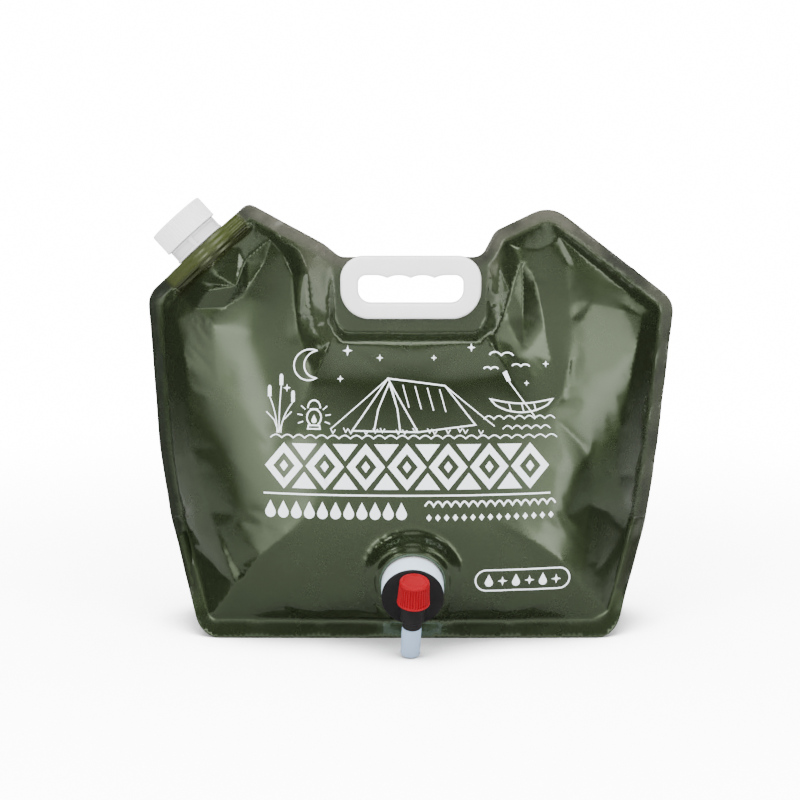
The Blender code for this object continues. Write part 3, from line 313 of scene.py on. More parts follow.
@dataclass(frozen=True)
class Folds:
    """Creases that split the film into nearly flat facets.

    Each fold is a line of (x, z, lift) in millimetres, where lift is how far the film stands out from
    its smooth shape there. The anchors are (x, z) of places where the film stays smooth.
    """

    folds: tuple[Fold, ...]
    anchors: tuple[Pair, ...]
    strength: float = 0.88
    merge: float = 1e-5

    def facets(self, rim: Loop) -> tuple[np.ndarray, np.ndarray, np.ndarray, list[Sequence[int]]]:
        """The film split along its folds.

        Args:
            rim: The inner line of the seam, where the film is held.

        Returns:
            The corners, how far each lifts, how much each counts, and the triangles between them.
        """
        spots: Loop = []
        lifts: list[float] = []
        weights: list[float] = []
        edges: list[tuple[int, int]] = []
        for fold in self.folds:
            start = len(spots)
            spots += [complex(x, z) * MM for x, z, _ in fold]
            lifts += [lift * MM for _, _, lift in fold]
            weights += [1.0] * len(fold)
            edges += [(start + k, start + k + 1) for k in range(len(fold) - 1)]
        spots += [complex(x, z) * MM for x, z in self.anchors]
        start = len(spots)
        spots += rim
        edges += [(start + k, start + (k + 1) % len(rim)) for k in range(len(rim))]
        lifts += [0.0] * (len(self.anchors) + len(rim))
        weights += [0.0] * len(self.anchors) + [1.0] * len(rim)
        flat = [Vector((spot.real, spot.imag)) for spot in spots]
        verts, _, faces, origins, *_ = delaunay_2d_cdt(flat, edges, [], 0, self.merge)
        lift = np.zeros(len(verts))
        weight = np.ones(len(verts))
        for k, sources in enumerate(origins):
            if sources:
                lift[k] = sum(lifts[s] for s in sources) / len(sources)
                weight[k] = sum(weights[s] for s in sources) / len(sources)
        return np.array([complex(*vert) for vert in verts]), lift, weight, faces

    def shaped(self, points: np.ndarray, height: np.ndarray, rim: Loop) -> np.ndarray:
        """The heights with the folds in them.

        Args:
            points: Flat places of the film's points.
            height: Their smooth heights.
            rim: The inner line of the seam.

        Returns:
            New heights.
        """
        places, lift, weight, faces = self.facets(rim)
        nearest = np.array([np.abs(points - place).argmin() for place in places])
        level = height[nearest] + lift
        shaped = height.copy()
        for a, b, c in faces:
            base, u, v = places[a], places[b] - places[a], places[c] - places[a]
            area = (u.conjugate() * v).imag
            if abs(area) < NO_AREA:
                continue
            local = points - base
            second = (u.conjugate() * local).imag / area
            first = -(v.conjugate() * local).imag / area
            inside = (first > -SLACK) & (second > -SLACK) & (first + second < 1 + SLACK)
            rest = 1 - first - second
            target = level[a] * rest + level[b] * first + level[c] * second
            share = (weight[a] * rest + weight[b] * first + weight[c] * second) * self.strength
            shaped = np.where(inside, height + (target - height) * share, shaped)
        return shaped


FRONT_FOLDS = Folds(
    folds=(
        ((-188, 236, 1.0), (-173.5, 253, 2.0), (-150, 257, 3.0), (-129.6, 260.5, 4.5)),
        ((-129.6, 260.5, 4.5), (-123, 279, 3.5), (-119, 301, 1.5)),
        ((-178, 240, -1.5), (-160, 243, -4.0), (-139, 244.5, -5.5), (-123, 256, -5.0),
         (-110, 276, -4.0), (-104, 294, -2.0)),
        ((-129.6, 260.5, 4.5), (-134, 278, -0.8)),
        ((-129.6, 260.5, 4.5), (-128.5, 288, 0.8)),
        ((-129.6, 260.5, 4.5), (-143, 268, 1.2)),
        ((-129.6, 260.5, 4.5), (-156, 262, -1.5)),
        ((-119, 301, 1.5), (-108, 306, 2.0), (-98, 303, -1.0)),
        ((-103, 299, -1.0), (-95, 291, -3.5), (-84, 284, -5.5), (-78, 270, -7.5), (-76, 247, -8.5),
         (-72, 229, -7.5), (-66, 219, -4.0)),
        ((-106, 294, 1.0), (-97, 284, 1.8), (-89, 268, 2.0), (-87, 247, 2.0), (-84, 226, 1.5),
         (-78, 206, 0.5)),
        ((-72, 291, -2.0), (-67, 272, -4.5), (-65, 250, -4.5), (-62, 234, -3.0)),
        ((-60, 219, -2.0), (-74, 190, -3.5), (-88, 152, -1.0)),
        ((57, 220, -2.0), (70, 198, -3.5), (84, 176, -1.0)),
        ((67, 298, -0.5), (65, 276, -2.5), (63.5, 250, -2.5), (60.5, 230, -1.5)),
        ((81, 278, 3.0), (74, 257, 3.0), (68, 238, 2.5), (60, 222, 0.5)),
        ((81, 278, 3.0), (82, 258, -2.5), (82, 238, -4.0), (82, 214, -3.5), (88, 190, -1.5)),
        ((84, 282, 2.5), (91, 262, 3.5), (94.5, 247, 3.5), (97, 232, 3.0), (103, 207, 2.0),
         (110, 180, 1.5), (100, 171, 0.5)),
        ((72, 290, 1.0), (82, 287, 2.5), (93, 286, 3.0), (103, 290, 2.5), (109, 296, 1.0)),
        ((109, 296, 1.0), (125, 283, 1.5), (141, 270.5, 1.5), (161, 254, 1.5), (178, 240, 0.8)),
        ((109, 296, 1.0), (121, 275, 0.2), (136, 261, 0.2), (154, 248, 0.0), (172, 236, 0.0)),
        ((109, 296, 1.0), (114, 276, 1.8), (116, 248, 1.8), (117.5, 220, 2.2), (114.5, 199, 2.2),
         (110, 180, 1.5)),
        ((117.5, 220, 2.2), (123.5, 234, 1.8), (133, 247, 1.2), (156, 242, 0.4), (172, 236, 0.0)),
        ((172, 236, 0.0), (168, 217, 3.0), (163.5, 190, 3.5), (156, 153, 3.0), (153, 124, 2.0),
         (160, 100, 1.0), (169, 79, 0.5)),
        ((136, 175, -1.5), (131, 135, -1.5), (134, 100, -2.0), (127, 38, 1.5)),
        ((-176, 234, -0.5), (-169, 202, 2.0), (-167, 167, 2.5), (-165, 137, 2.5), (-152, 92, 2.0),
         (-131, 40, 1.5)),
        ((-186, 226, 1.0), (-183.5, 180, 2.0), (-180, 130, 2.0), (-176, 92, 1.0)),
        ((-178, 222, -0.8), (-175, 180, -1.2), (-172, 130, -1.2), (-168, 92, -0.5)),
        ((-148, 232, -1.5), (-143, 190, -2.0), (-139, 140, -2.0), (-133, 92, -2.0), (-126, 48, -1.0)),
        ((-131, 40, 1.5), (-174, 81, 0.0)),
        ((-131, 40, 1.5), (-147, 17, 0.5)),
        ((-131, 40, 1.5), (-112, 64, 2.5), (-93, 81, 2.0), (-75, 98, 1.0), (-52, 101, 0.2)),
        ((-131, 40, 1.5), (-100, 30, -1.0), (-70, 22, -0.5)),
        ((127, 38, 1.5), (169, 77, 0.0)),
        ((127, 38, 1.5), (149, 16, 0.5)),
        ((127, 38, 1.5), (109, 61, 2.5), (86, 78, 2.0), (64, 91, 0.5)),
        ((127, 38, 1.5), (98, 29, -1.0), (70, 22, -0.5)),
    ),
    anchors=((-108, 225), (-104, 190), (-108, 150), (-110, 110), (-60, 150), (-40, 190), (0, 190),
             (40, 190), (70, 150), (0, 150), (-40, 120), (40, 120), (0, 105), (-80, 60), (80, 60),
             (-45, 60), (45, 60), (-50, 30), (50, 30), (118, 120), (110, 90), (120, 200), (122, 235),
             (-100, 240), (-20, 20), (20, 20), (0, 90)),
)

REAR_FOLDS = Folds(
    folds=(
        ((-188, 236, 1.0), (-160, 250, 2.0), (-129.6, 258, 4.0), (-121, 280, 3.0), (-118, 300, 1.0)),
        ((-176, 238, -2.0), (-142, 244, -5.0), (-116, 266, -4.5), (-106, 294, -2.0)),
        ((-129.6, 258, 4.0), (-142, 266, 1.0)),
        ((-98, 303, 1.0), (-92, 295, -1.0), (-79, 272, -5.0), (-76, 250, -6.0), (-74, 224, -5.5),
         (-84, 172, -1.0)),
        ((-98, 288, 1.0), (-88, 266, 1.4), (-87, 246, 1.4), (-87, 222, 1.0)),
        ((82, 300, 1.0), (76, 262, -5.0), (74, 222, -4.5), (90, 165, -1.0)),
        ((96, 303, 2.5), (150, 264, 2.0), (156, 200, 3.0), (150, 140, 2.5), (169, 80, 0.5)),
        ((118, 290, -1.5), (122, 236, -2.0), (116, 160, -0.5)),
        ((-176, 232, 0.5), (-166, 180, 2.5), (-164, 130, 2.5), (-173, 84, 0.5)),
        ((-130, 236, -1.5), (-136, 180, -2.0), (-130, 110, -1.5)),
        ((-59, 219, -2.0), (0, 211, -3.0), (56, 220, -2.0)),
        ((-128, 39, 1.5), (-172, 80, 0.0)),
        ((-128, 39, 1.5), (-100, 88, 2.5), (-62, 116, 0.5)),
        ((-128, 39, 1.5), (-146, 17, 0.5)),
        ((124, 38, 1.5), (168, 77, 0.0)),
        ((124, 38, 1.5), (96, 86, 2.5), (54, 110, 0.5)),
        ((124, 38, 1.5), (148, 16, 0.5)),
        ((-46, 14, 0.5), (-20, 40, 1.2), (10, 62, 0.2)),
    ),
    anchors=((-104, 210), (-70, 150), (-30, 190), (30, 190), (70, 140), (0, 150), (-40, 110), (40, 105),
             (-90, 50), (90, 50), (-40, 30), (45, 30), (0, 90), (-110, 70), (108, 72), (104, 215),
             (-150, 210), (138, 210)),
)

FILM_CLOTH = {"quality": 6, "mass": 0.3, "tension_stiffness": 60, "compression_stiffness": 60,
              "shear_stiffness": 40, "bending_stiffness": 1.5, "air_damping": 4, "use_pressure": True,
              "vertex_group_mass": "held", "pin_stiffness": 1.0}


# Meshes and shapes shared by the soft and the moulded pieces


def deselected() -> None:
    """Leaves nothing selected, because an operator acts on all that is."""
    if bpy.context.object and bpy.context.object.mode != "OBJECT":
        bpy.ops.object.mode_set(mode="OBJECT")
    bpy.ops.object.select_all(action="DESELECT")


def chosen(made: Object) -> None:
    """Selects one object alone and makes it the active one."""
    deselected()
    made.select_set(True)
    bpy.context.view_layer.objects.active = made


def applied(made: Object) -> None:
    """Applies every modifier of an object."""
    chosen(made)
    for modifier in list(made.modifiers):
        bpy.ops.object.modifier_apply(modifier=modifier.name)


def linked(name: str, data: bpy.types.ID) -> Object:
    """Puts a mesh, light or camera into the scene as an object of its own."""
    made = bpy.data.objects.new(name, data)
    bpy.context.scene.collection.objects.link(made)
    return made


def marked(made: Object, shares: Iterable[float]) -> None:
    """Notes at each point how far it is welded."""
    mark = made.data.attributes.new("weld", "FLOAT", "POINT")
    mark.data.foreach_set("value", shares)


def thickened(made: Object, gauge: float) -> None:
    """Gives a skin its thickness, inwards, and applies every modifier."""
    wall = made.modifiers.new("gauge", "SOLIDIFY")
    wall.thickness = gauge
    wall.offset = 1.0
    applied(made)


def smooth(made: Object, angle: float = 35.0) -> Object:
    """Shades an object smooth, except across edges sharper than an angle in degrees."""
    chosen(made)
    bpy.ops.object.shade_smooth_by_angle(angle=math.radians(angle))
    return made


def grown(value: np.ndarray, start: float, span: float) -> np.ndarray:
    """A share that grows from 0 to 1 over a span of a value."""
    return np.clip((value - start) / span, 0.0, 1.0)


@dataclass(frozen=True)
class RimWave:
    """The seam's slight waves towards front and back, the same on both films.

    A pair is where a share starts to grow and the distance over which it grows to one.
    """

    seam_widths: float = 1.5
    past_boat: float = 0.012
    boat_corner: complex = -0.10 + 0.24j
    past_handle: Pair = (0.058, 0.02)
    handle_from: float = 0.2
    above_floor: float = 0.03
    slant: Pair = (61.0, 83.0)
    long_wave: Triple = (1.9, 0.6, 0.9)
    short_wave: Triple = (4.3, 40, 0.45)
    lean: float = 0.0034
    lean_left: Pair = (0.150, 0.02)
    lean_below: Pair = (-0.250, 0.02)
    lean_above: Pair = (0.03, 0.03)
    calmed_by_lean: float = 0.6

    def at(self, points: np.ndarray, pattern: Pattern, outer: Loop) -> np.ndarray:
        """How far the waves move the film towards the back at each flat point."""
        share = np.clip(1.0 - depth_inside(points, outer) / (pattern.seam * self.seam_widths), 0.0, 1.0)
        offset, _ = pattern.boat_place(points)
        by_boat = (points.imag > self.boat_corner.imag) & (points.real < self.boat_corner.real)
        share *= np.where(by_boat, grown(np.abs(offset), pattern.boat_half_length, self.past_boat), 1.0)
        off_handle = grown(np.abs(points.real), *self.past_handle)
        share *= (np.where(points.imag > self.handle_from, off_handle, 1.0)
                  * grown(points.imag, 0.0, self.above_floor))
        turn = points.real * self.slant[0] - points.imag * self.slant[1]
        pitch, phase, height = self.long_wave
        wave = np.sin(turn * pitch + phase) * height
        pitch, climb, height = self.short_wave
        wave = wave + np.sin(turn * pitch + points.imag * climb) * height
        left = grown(-points.real, *self.lean_left) * grown(-points.imag, *self.lean_below)
        lean = self.lean * left * grown(points.imag, *self.lean_above)
        return (wave * MM * (1.0 - self.calmed_by_lean * left) + lean) * share


@dataclass
class FilmPanel:
    """One film of the bag: its flat mesh, its swollen start and what the pressure makes of it."""

    pattern: Pattern
    side: Side
    folds: Folds
    step: float = 0.0042
    clear_of_lines: float = 0.0022
    clear_of_folds: float = 0.4
    slot_grow: float = 0.0024
    web_clearance: float = 0.0022
    lattice: Pair = (0.2, 0.32)
    gauge: float = 0.00030
    weld_gap: float = 0.0003
    swell: float = 0.047
    swell_power: float = 0.60
    tap_height: float = 0.0490
    tap_forward: float = 0.0730
    tap_droop: float = math.radians(18.0)
    tap_hole: float = 0.0227
    tap_flange: float = 0.0274
    tap_blend: float = 0.039
    tap_rings: tuple[float, ...] = (0.0012, 0.0024, 0.0036, 0.0047, 0.0058, 0.0072, 0.0092)
    tap_clearance: float = 0.0115
    tap_fold_clearance: float = 0.014
    tap_fold_fade: float = 0.02
    tap_hold: float = 0.0045
    boat_pitch: Pair = (0.0024, 0.00094)
    boat_ribs: int = 4
    boat_rib_height: float = 0.00045
    boat_rib_phase: float = 0.22
    boat_rib_edge: float = 2.2
    boat_brim: float = 0.0012
    boat_hold: float = 2e-4
    boat_margin: float = 0.001
    fine_zone: Pair = (0.052, 0.045)
    bead: float = 0.26
    web_tint: float = 0.30
    pressed_tint: float = 0.55
    pressed_zones: tuple[tuple[Pair, ...], ...] = (
        ((-118, 311), (-106, 301), (-96, 293), (-86, 287), (-80, 271), (-78, 247), (-73.5, 228),
         (-66, 219), (-58, 217), (-57, 285), (-66, 290)),
        ((70, 305), (68, 296), (66, 274), (64, 250), (60.5, 232), (56, 250), (56, 285), (62, 300)))
    seam_blur: float = 0.003
    zone_blur: float = 0.004
    seam_above_base: Pair = (0.016, 0.018)
    hood: tuple[Pair, ...] = (
        (22.7, 2.3), (23.9, 3.0), (25.1, 2.9), (26.3, 1.9), (27.4, 0.4), (28.5, -0.7), (29.9, -0.3),
        (31.9, 0.5), (35.0, 0.0))
    least_spring: float = 1e-4
    solver_rounds: int = 1500
    solver_settled: float = 1e-14
    merge: float = 1e-7
    join_flat: float = math.radians(9)
    join_shape: float = math.radians(40)
    frames: int = 36
    rest_scale: float = 1.030
    rest_flatten: float = 0.75
    pressure: float = 4.0
    crease: float = 0.85
    crisp_from: Pair = (0.165, 0.200)
    points: np.ndarray = field(default_factory=lambda: np.zeros(0, complex))
    faces: list[tuple[int, ...]] = field(default_factory=list)
    creased: set[frozenset[int]] = field(default_factory=set)

    def __post_init__(self) -> None:
        """Draws the lines that everything else is measured from."""
        self.outer, self.inner = self.pattern.seam_loops(self.step)
        self.web = self.pattern.web_loop(self.step)

    def has_tap(self) -> bool:
        """Only the front panel carries the tap."""
        return self.side is Side.FRONT

    def tap_ring(self, radius: float, steps: int = 72) -> Loop:
        """A circle about the tap's axis in the plane of its weld, seen from the front."""
        drop = math.cos(self.tap_droop)
        return [self.tap_height * 1j + radius * complex(math.cos(a), math.sin(a) * drop)
                for a in (2 * math.pi * k / steps for k in range(steps))]

    def tap_radius(self, points: np.ndarray) -> np.ndarray:
        """Distance of each flat point from the tap's axis, in the plane of its weld."""
        across = points - self.tap_height * 1j
        return np.abs(across.real + 1j * across.imag / math.cos(self.tap_droop))

    def near_boat(self, points: np.ndarray) -> np.ndarray:
        """Whether each flat point is in the finely meshed zone round the boat."""
        offset, depth = self.pattern.boat_place(points)
        return (np.abs(offset) < self.fine_zone[0]) & (depth < self.fine_zone[1])

    def lines(self, holes: list[Loop]) -> tuple[Loop, list[tuple[int, int]]]:
        """The points and edges of every line that the mesh has to follow."""
        middle = [(a + b) / 2 for a, b in zip(self.outer, self.inner)]
        bead = [b + (b - a) * self.bead for a, b in zip(self.outer, self.inner)]
        web = [p for p in self.web if depth_inside([p], self.inner)[0] > self.web_clearance]
        closed = [self.outer, self.inner, middle] + holes
        if self.has_tap():
            closed += [self.tap_ring(self.tap_hole + width) for width in self.tap_rings]
        points: Loop = []
        edges: list[tuple[int, int]] = []
        for number, line in enumerate(closed + [web] + self.fold_runs() + self.free_runs(bead)):
            count = len(points)
            points += line
            edges += [(count + k, count + k + 1) for k in range(len(line) - 1)]
            if number < len(closed):
                edges.append((count + len(line) - 1, count))
        return points, edges

    def loose_points(self, fixed: np.ndarray) -> np.ndarray:
        """A square lattice and the boat's finer one, kept clear of the lines."""
        pattern, step = self.pattern, self.step
        wide, tall = round(self.lattice[0] / step), math.ceil(self.lattice[1] / step)
        spots = np.array([complex(k * step, j * step)
                          for j in range(1, tall) for k in range(-wide, wide + 1)])
        close = self.near_boat(spots)
        between = [spots[close] + step / 2 * shift for shift in (1, 1j, 1 + 1j)]
        spots = np.concatenate([spots, *between])
        offset, depth = pattern.boat_place(spots)
        length, deep = pattern.boat_half_length, pattern.boat_depth
        spots = spots[~((np.abs(offset) < length + step / 2) & (depth < deep + step / 2))]
        clear = np.array([np.abs(fixed - spot).min() for spot in spots])
        spots = spots[clear > np.where(self.near_boat(spots), 0.5, 1.0) * self.clear_of_lines]
        if self.has_tap():
            spots = spots[self.tap_radius(spots) > self.tap_hole + self.tap_clearance]
        middle, along = pattern.spout_seam()
        across, down = self.boat_pitch
        rows = np.arange(down, deep + self.boat_margin, down)
        columns = np.linspace(-length, length, 2 * round(length / across) + 1)
        boat = (middle + along * (columns[:, None] - 1j * rows[None, :])).ravel()
        near = np.array([np.abs(fixed - spot).min() for spot in boat]) > down / 2
        return np.concatenate([spots[depth_inside(spots, self.outer) > step / 2], boat[near]])

    def lay_out(self) -> None:
        """Makes the flat mesh: seams, boat, web, folds and holes are lines in a square lattice."""
        holes = [self.pattern.grip_loop(self.slot_grow, self.step / 2)]
        if self.has_tap():
            holes.append(self.tap_ring(self.tap_hole))
        points, edges = self.lines(holes)
        points += list(self.loose_points(np.array(points)))
        flat = [Vector((p.real, p.imag)) for p in points]
        verts, _, faces, *_ = delaunay_2d_cdt(flat, edges, [], 0, self.merge)
        places = np.array([complex(*vert) for vert in verts])
        middles = np.array([places[list(face)].mean() for face in faces])
        kept = depth_inside(middles, self.outer) > 0
        for hole in holes:
            kept &= depth_inside(middles, hole) < 0
        triangles = [tuple(face) for face, keep in zip(faces, kept) if keep]
        used = sorted({k for face in triangles for k in face})
        place = {k: number for number, k in enumerate(used)}
        self.points = places[used]
        self.faces = [tuple(place[k] for k in face) for face in triangles]
        for run in self.fold_runs():
            spots = [int(np.abs(self.points - spot).argmin()) for spot in run]
            self.creased |= {frozenset(pair) for pair in zip(spots, spots[1:])}

    def fold_runs(self) -> list[Loop]:
        """The folds as runs of close points, only where the film is free."""
        runs: list[Loop] = []
        for fold in self.folds.folds:
            corners = [complex(x, z) * MM for x, z, _ in fold]
            spots: Loop = []
            for start, end in zip(corners, corners[1:]):
                fine = self.near_boat(np.array([(start + end) / 2]))[0]
                count = max(1, round(abs(end - start) / (self.step * (0.5 if fine else 1.0))))
                spots += [start + (end - start) * k / count for k in range(count)]
            spots.append(corners[-1])
            runs += self.free_runs(spots)
        return runs

    def free_runs(self, spots: Loop) -> list[Loop]:
        """The stretches of a line where the film is neither welded nor on the boat or the tap."""
        offset, depth = self.pattern.boat_place(np.array(spots))
        clear = self.step * self.clear_of_folds
        free = (depth_inside(spots, self.inner) > clear) & (depth_inside(spots, self.web) < -clear)
        free &= ((np.abs(offset) > self.pattern.boat_half_length + self.boat_margin)
                 | (depth > self.pattern.boat_depth + self.boat_margin))
        if self.has_tap():
            free &= self.tap_radius(np.array(spots)) > self.tap_hole + self.tap_fold_clearance
        runs: list[Loop] = [[]]
        for spot, inside in zip(spots, free):
            if inside:
                runs[-1].append(spot)
            elif runs[-1]:
                runs.append([])
        return [run for run in runs if len(run) > 1]

    def stretched(self, held: np.ndarray, load: float) -> np.ndarray:
        """Heights of a stretched skin under an even load, found by conjugate gradients.

        Args:
            held: Heights of the held points, and nan at the free ones.
            load: What presses on each unit of area.

        Returns:
            The height of every point.
        """
        corners = np.array(self.faces)
        rows, columns, weights = [], [], []
        push = np.zeros(len(self.points))
        for k in range(3):
            a, b, c = (self.points[corners[:, (k + n) % 3]] for n in range(3))
            left, right = a - c, b - c
            cross = np.abs((left.conj() * right).imag)
            rows.append(corners[:, k])
            columns.append(corners[:, (k + 1) % 3])
            weights.append((left.conj() * right).real / np.maximum(cross, NO_AREA) / 2)
            push += load * np.bincount(corners[:, k], cross / 6, len(push))
        i, j, weight = (np.concatenate(part) for part in (rows, columns, weights))
        weight = np.maximum(weight, self.least_spring)
        free = np.isnan(held)

        def pull(height: np.ndarray) -> np.ndarray:
            """What the springs between neighbours give at each point."""
            give = weight * (height[i] - height[j])
            count = len(height)
            return np.where(free, np.bincount(i, give, count) - np.bincount(j, give, count), 0.0)

        stiff = np.maximum(np.bincount(i, weight, len(held)) + np.bincount(j, weight, len(held)), SLACK)
        height = np.where(free, 0.0, held)
        rest = np.where(free, push, 0.0) - pull(height)
        ahead = rest / stiff
        measure = float(rest @ ahead)
        first = measure
        for _ in range(self.solver_rounds):
            if measure < first * self.solver_settled:
                break
            moved = pull(ahead)
            step = measure / float(ahead @ moved)
            height = height + step * ahead
            rest = rest - step * moved
            scaled = rest / stiff
            following = float(rest @ scaled)
            ahead = scaled + ahead * following / measure
            measure = following
        return height

    def forward(self) -> tuple[np.ndarray, np.ndarray]:
        """Distance of the film from the middle plane at each point, and which points are held."""
        pattern, points = self.pattern, self.points
        offset, depth = pattern.boat_place(points)
        on_boat = ((np.abs(offset) < pattern.boat_half_length + TINY)
                   & (depth < pattern.boat_depth + self.boat_hold))
        welded = (depth_inside(points, self.inner) < TINY) | (depth_inside(points, self.web) > -TINY)
        held = np.full(len(points), np.nan)
        held[welded] = pattern.leg_forward(points.imag)[welded] + self.weld_gap / 2
        pitch = pattern.boat_depth / self.boat_ribs
        turn = 2 * math.pi * (depth / pitch - self.boat_rib_phase)
        rib = np.clip(np.cos(turn) * self.boat_rib_edge, -1, 1) * 0.5 - 0.5
        boat = pattern.boat_half(offset) + self.weld_gap
        rib = rib * np.minimum(self.boat_rib_height, boat / 4)
        held[on_boat] = (boat + np.where(depth > self.boat_brim, rib, 0.0))[on_boat]
        carried = self.stretched(held, 0.0)
        swollen = self.stretched(np.where(np.isnan(held), np.nan, 0.0), 1.0)
        height = carried + self.swell * np.clip(swollen / swollen.max(), 0.0, 1.0) ** self.swell_power
        loose = np.isnan(held)
        if self.has_tap():
            radius = self.tap_radius(points)
            share = grown(-radius, -self.tap_blend, self.tap_blend - self.tap_flange)
            share = np.where(loose, share * share * (3 - 2 * share), 0.0)
            across = points.imag - self.tap_height
            height = height * (1 - share) + (self.tap_forward + across * math.tan(self.tap_droop)) * share
            radii, lifts = zip(*self.hood)
            height += np.interp(radius / MM, radii, lifts, right=0.0) * MM
            loose &= radius > self.tap_flange + self.tap_hold
        return height, ~loose

    def start_shape(self) -> tuple[np.ndarray, np.ndarray]:
        """The swollen film with its folds, and which points are held."""
        height, held = self.forward()
        folded = self.folds.shaped(self.points, height, self.inner)
        if self.has_tap():
            clear = grown(self.tap_radius(self.points), self.tap_flange, self.tap_fold_fade)
        else:
            clear = 1.0
        height = np.where(held, height, height + (folded - height) * clear)
        wave = RimWave().at(self.points, self.pattern, self.outer)
        place = np.stack([self.points.real, self.side.value * height + wave, self.points.imag], axis=1)
        return place, held

    def pressed(self, place: np.ndarray, held: np.ndarray) -> np.ndarray:
        """Where the film settles when water presses on it from inside, by cloth simulation."""
        made = self.object_of("film_trial", place)
        group = made.vertex_groups.new(name="held")
        group.add([int(k) for k in np.nonzero(held)[0]], 1.0, "REPLACE")
        made.shape_key_add(name="Basis")
        cut = made.shape_key_add(name="cut")
        middle = place.mean(axis=0)
        scale = np.array([self.rest_scale, self.rest_flatten, self.rest_scale])
        rest = (place - middle) * scale + middle
        cut.data.foreach_set("co", rest.astype(np.float32).ravel())
        cloth = made.modifiers.new("water", "CLOTH")
        for key, value in FILM_CLOTH.items():
            setattr(cloth.settings, key, value)
        cloth.settings.uniform_pressure_force = self.pressure
        cloth.settings.effector_weights.gravity = 0.0
        cloth.settings.rest_shape_key = cut
        cloth.collision_settings.use_collision = False
        scene = bpy.context.scene
        for number in range(1, self.frames + 1):
            scene.frame_set(number)
        result = bpy.data.meshes.new_from_object(made.evaluated_get(bpy.context.evaluated_depsgraph_get()))
        spots = np.zeros(len(result.vertices) * 3)
        result.vertices.foreach_get("co", spots)
        scene.frame_set(1)
        bpy.data.objects.remove(made, do_unlink=True)
        return np.where(held[:, None], place, spots.reshape(-1, 3))

    def object_of(self, name: str, place: np.ndarray) -> Object:
        """A film as a new object, its triangles joined into squares where they pair up."""
        shape = bmesh.new()
        verts = [shape.verts.new(tuple(spot)) for spot in place]
        for face in self.faces:
            order = face if self.side is Side.FRONT else face[::-1]
            shape.faces.new([verts[k] for k in order])
        bmesh.ops.join_triangles(shape, faces=shape.faces[:], angle_face_threshold=self.join_flat,
                                 angle_shape_threshold=self.join_shape, cmp_seam=False, cmp_sharp=False)
        crisp = shape.edges.layers.float.new("crease_edge")
        shape.verts.index_update()
        for edge in shape.edges:
            if frozenset(vert.index for vert in edge.verts) in self.creased:
                share = np.interp(edge.verts[0].co.z, self.crisp_from, (0.0, 1.0))
                edge[crisp] = self.crease * float(share)
        mesh = bpy.data.meshes.new(name)
        shape.to_mesh(mesh)
        shape.free()
        return linked(name, mesh)

    def build(self, name: str) -> Object:
        """Lays out, swells, presses and thickens the film."""
        self.lay_out()
        place, held = self.start_shape()
        place = self.pressed(place, held)
        made = self.object_of(name, place)
        marked(made, self.weld_share().astype(np.float32))
        fine = made.modifiers.new("fine", "SUBSURF")
        fine.levels = fine.render_levels = 1
        thickened(made, self.gauge)
        made.data.shade_smooth()
        return made

    def weld_share(self) -> np.ndarray:
        """1 where two films lie on each other or on the boat, 0 on the body of the bag."""
        points = self.points
        seam = np.clip(0.5 - depth_inside(points, self.inner) / self.seam_blur, 0.0, 1.0)
        web = np.clip(0.5 + depth_inside(points, self.web) / self.seam_blur, 0.0, 1.0)
        seam *= grown(points.imag, *self.seam_above_base)
        for zone in self.pressed_zones:
            inside = depth_inside(points, [complex(x, z) * MM for x, z in zone])
            seam = np.maximum(seam, self.pressed_tint * np.clip(0.5 + inside / self.zone_blur, 0.0, 1.0))
        return np.maximum(seam, web * self.web_tint)


# Finishes


def rgba(colour: Colour) -> tuple[float, float, float, float]:
    """A linear colour with full cover."""
    return (*colour, 1.0)


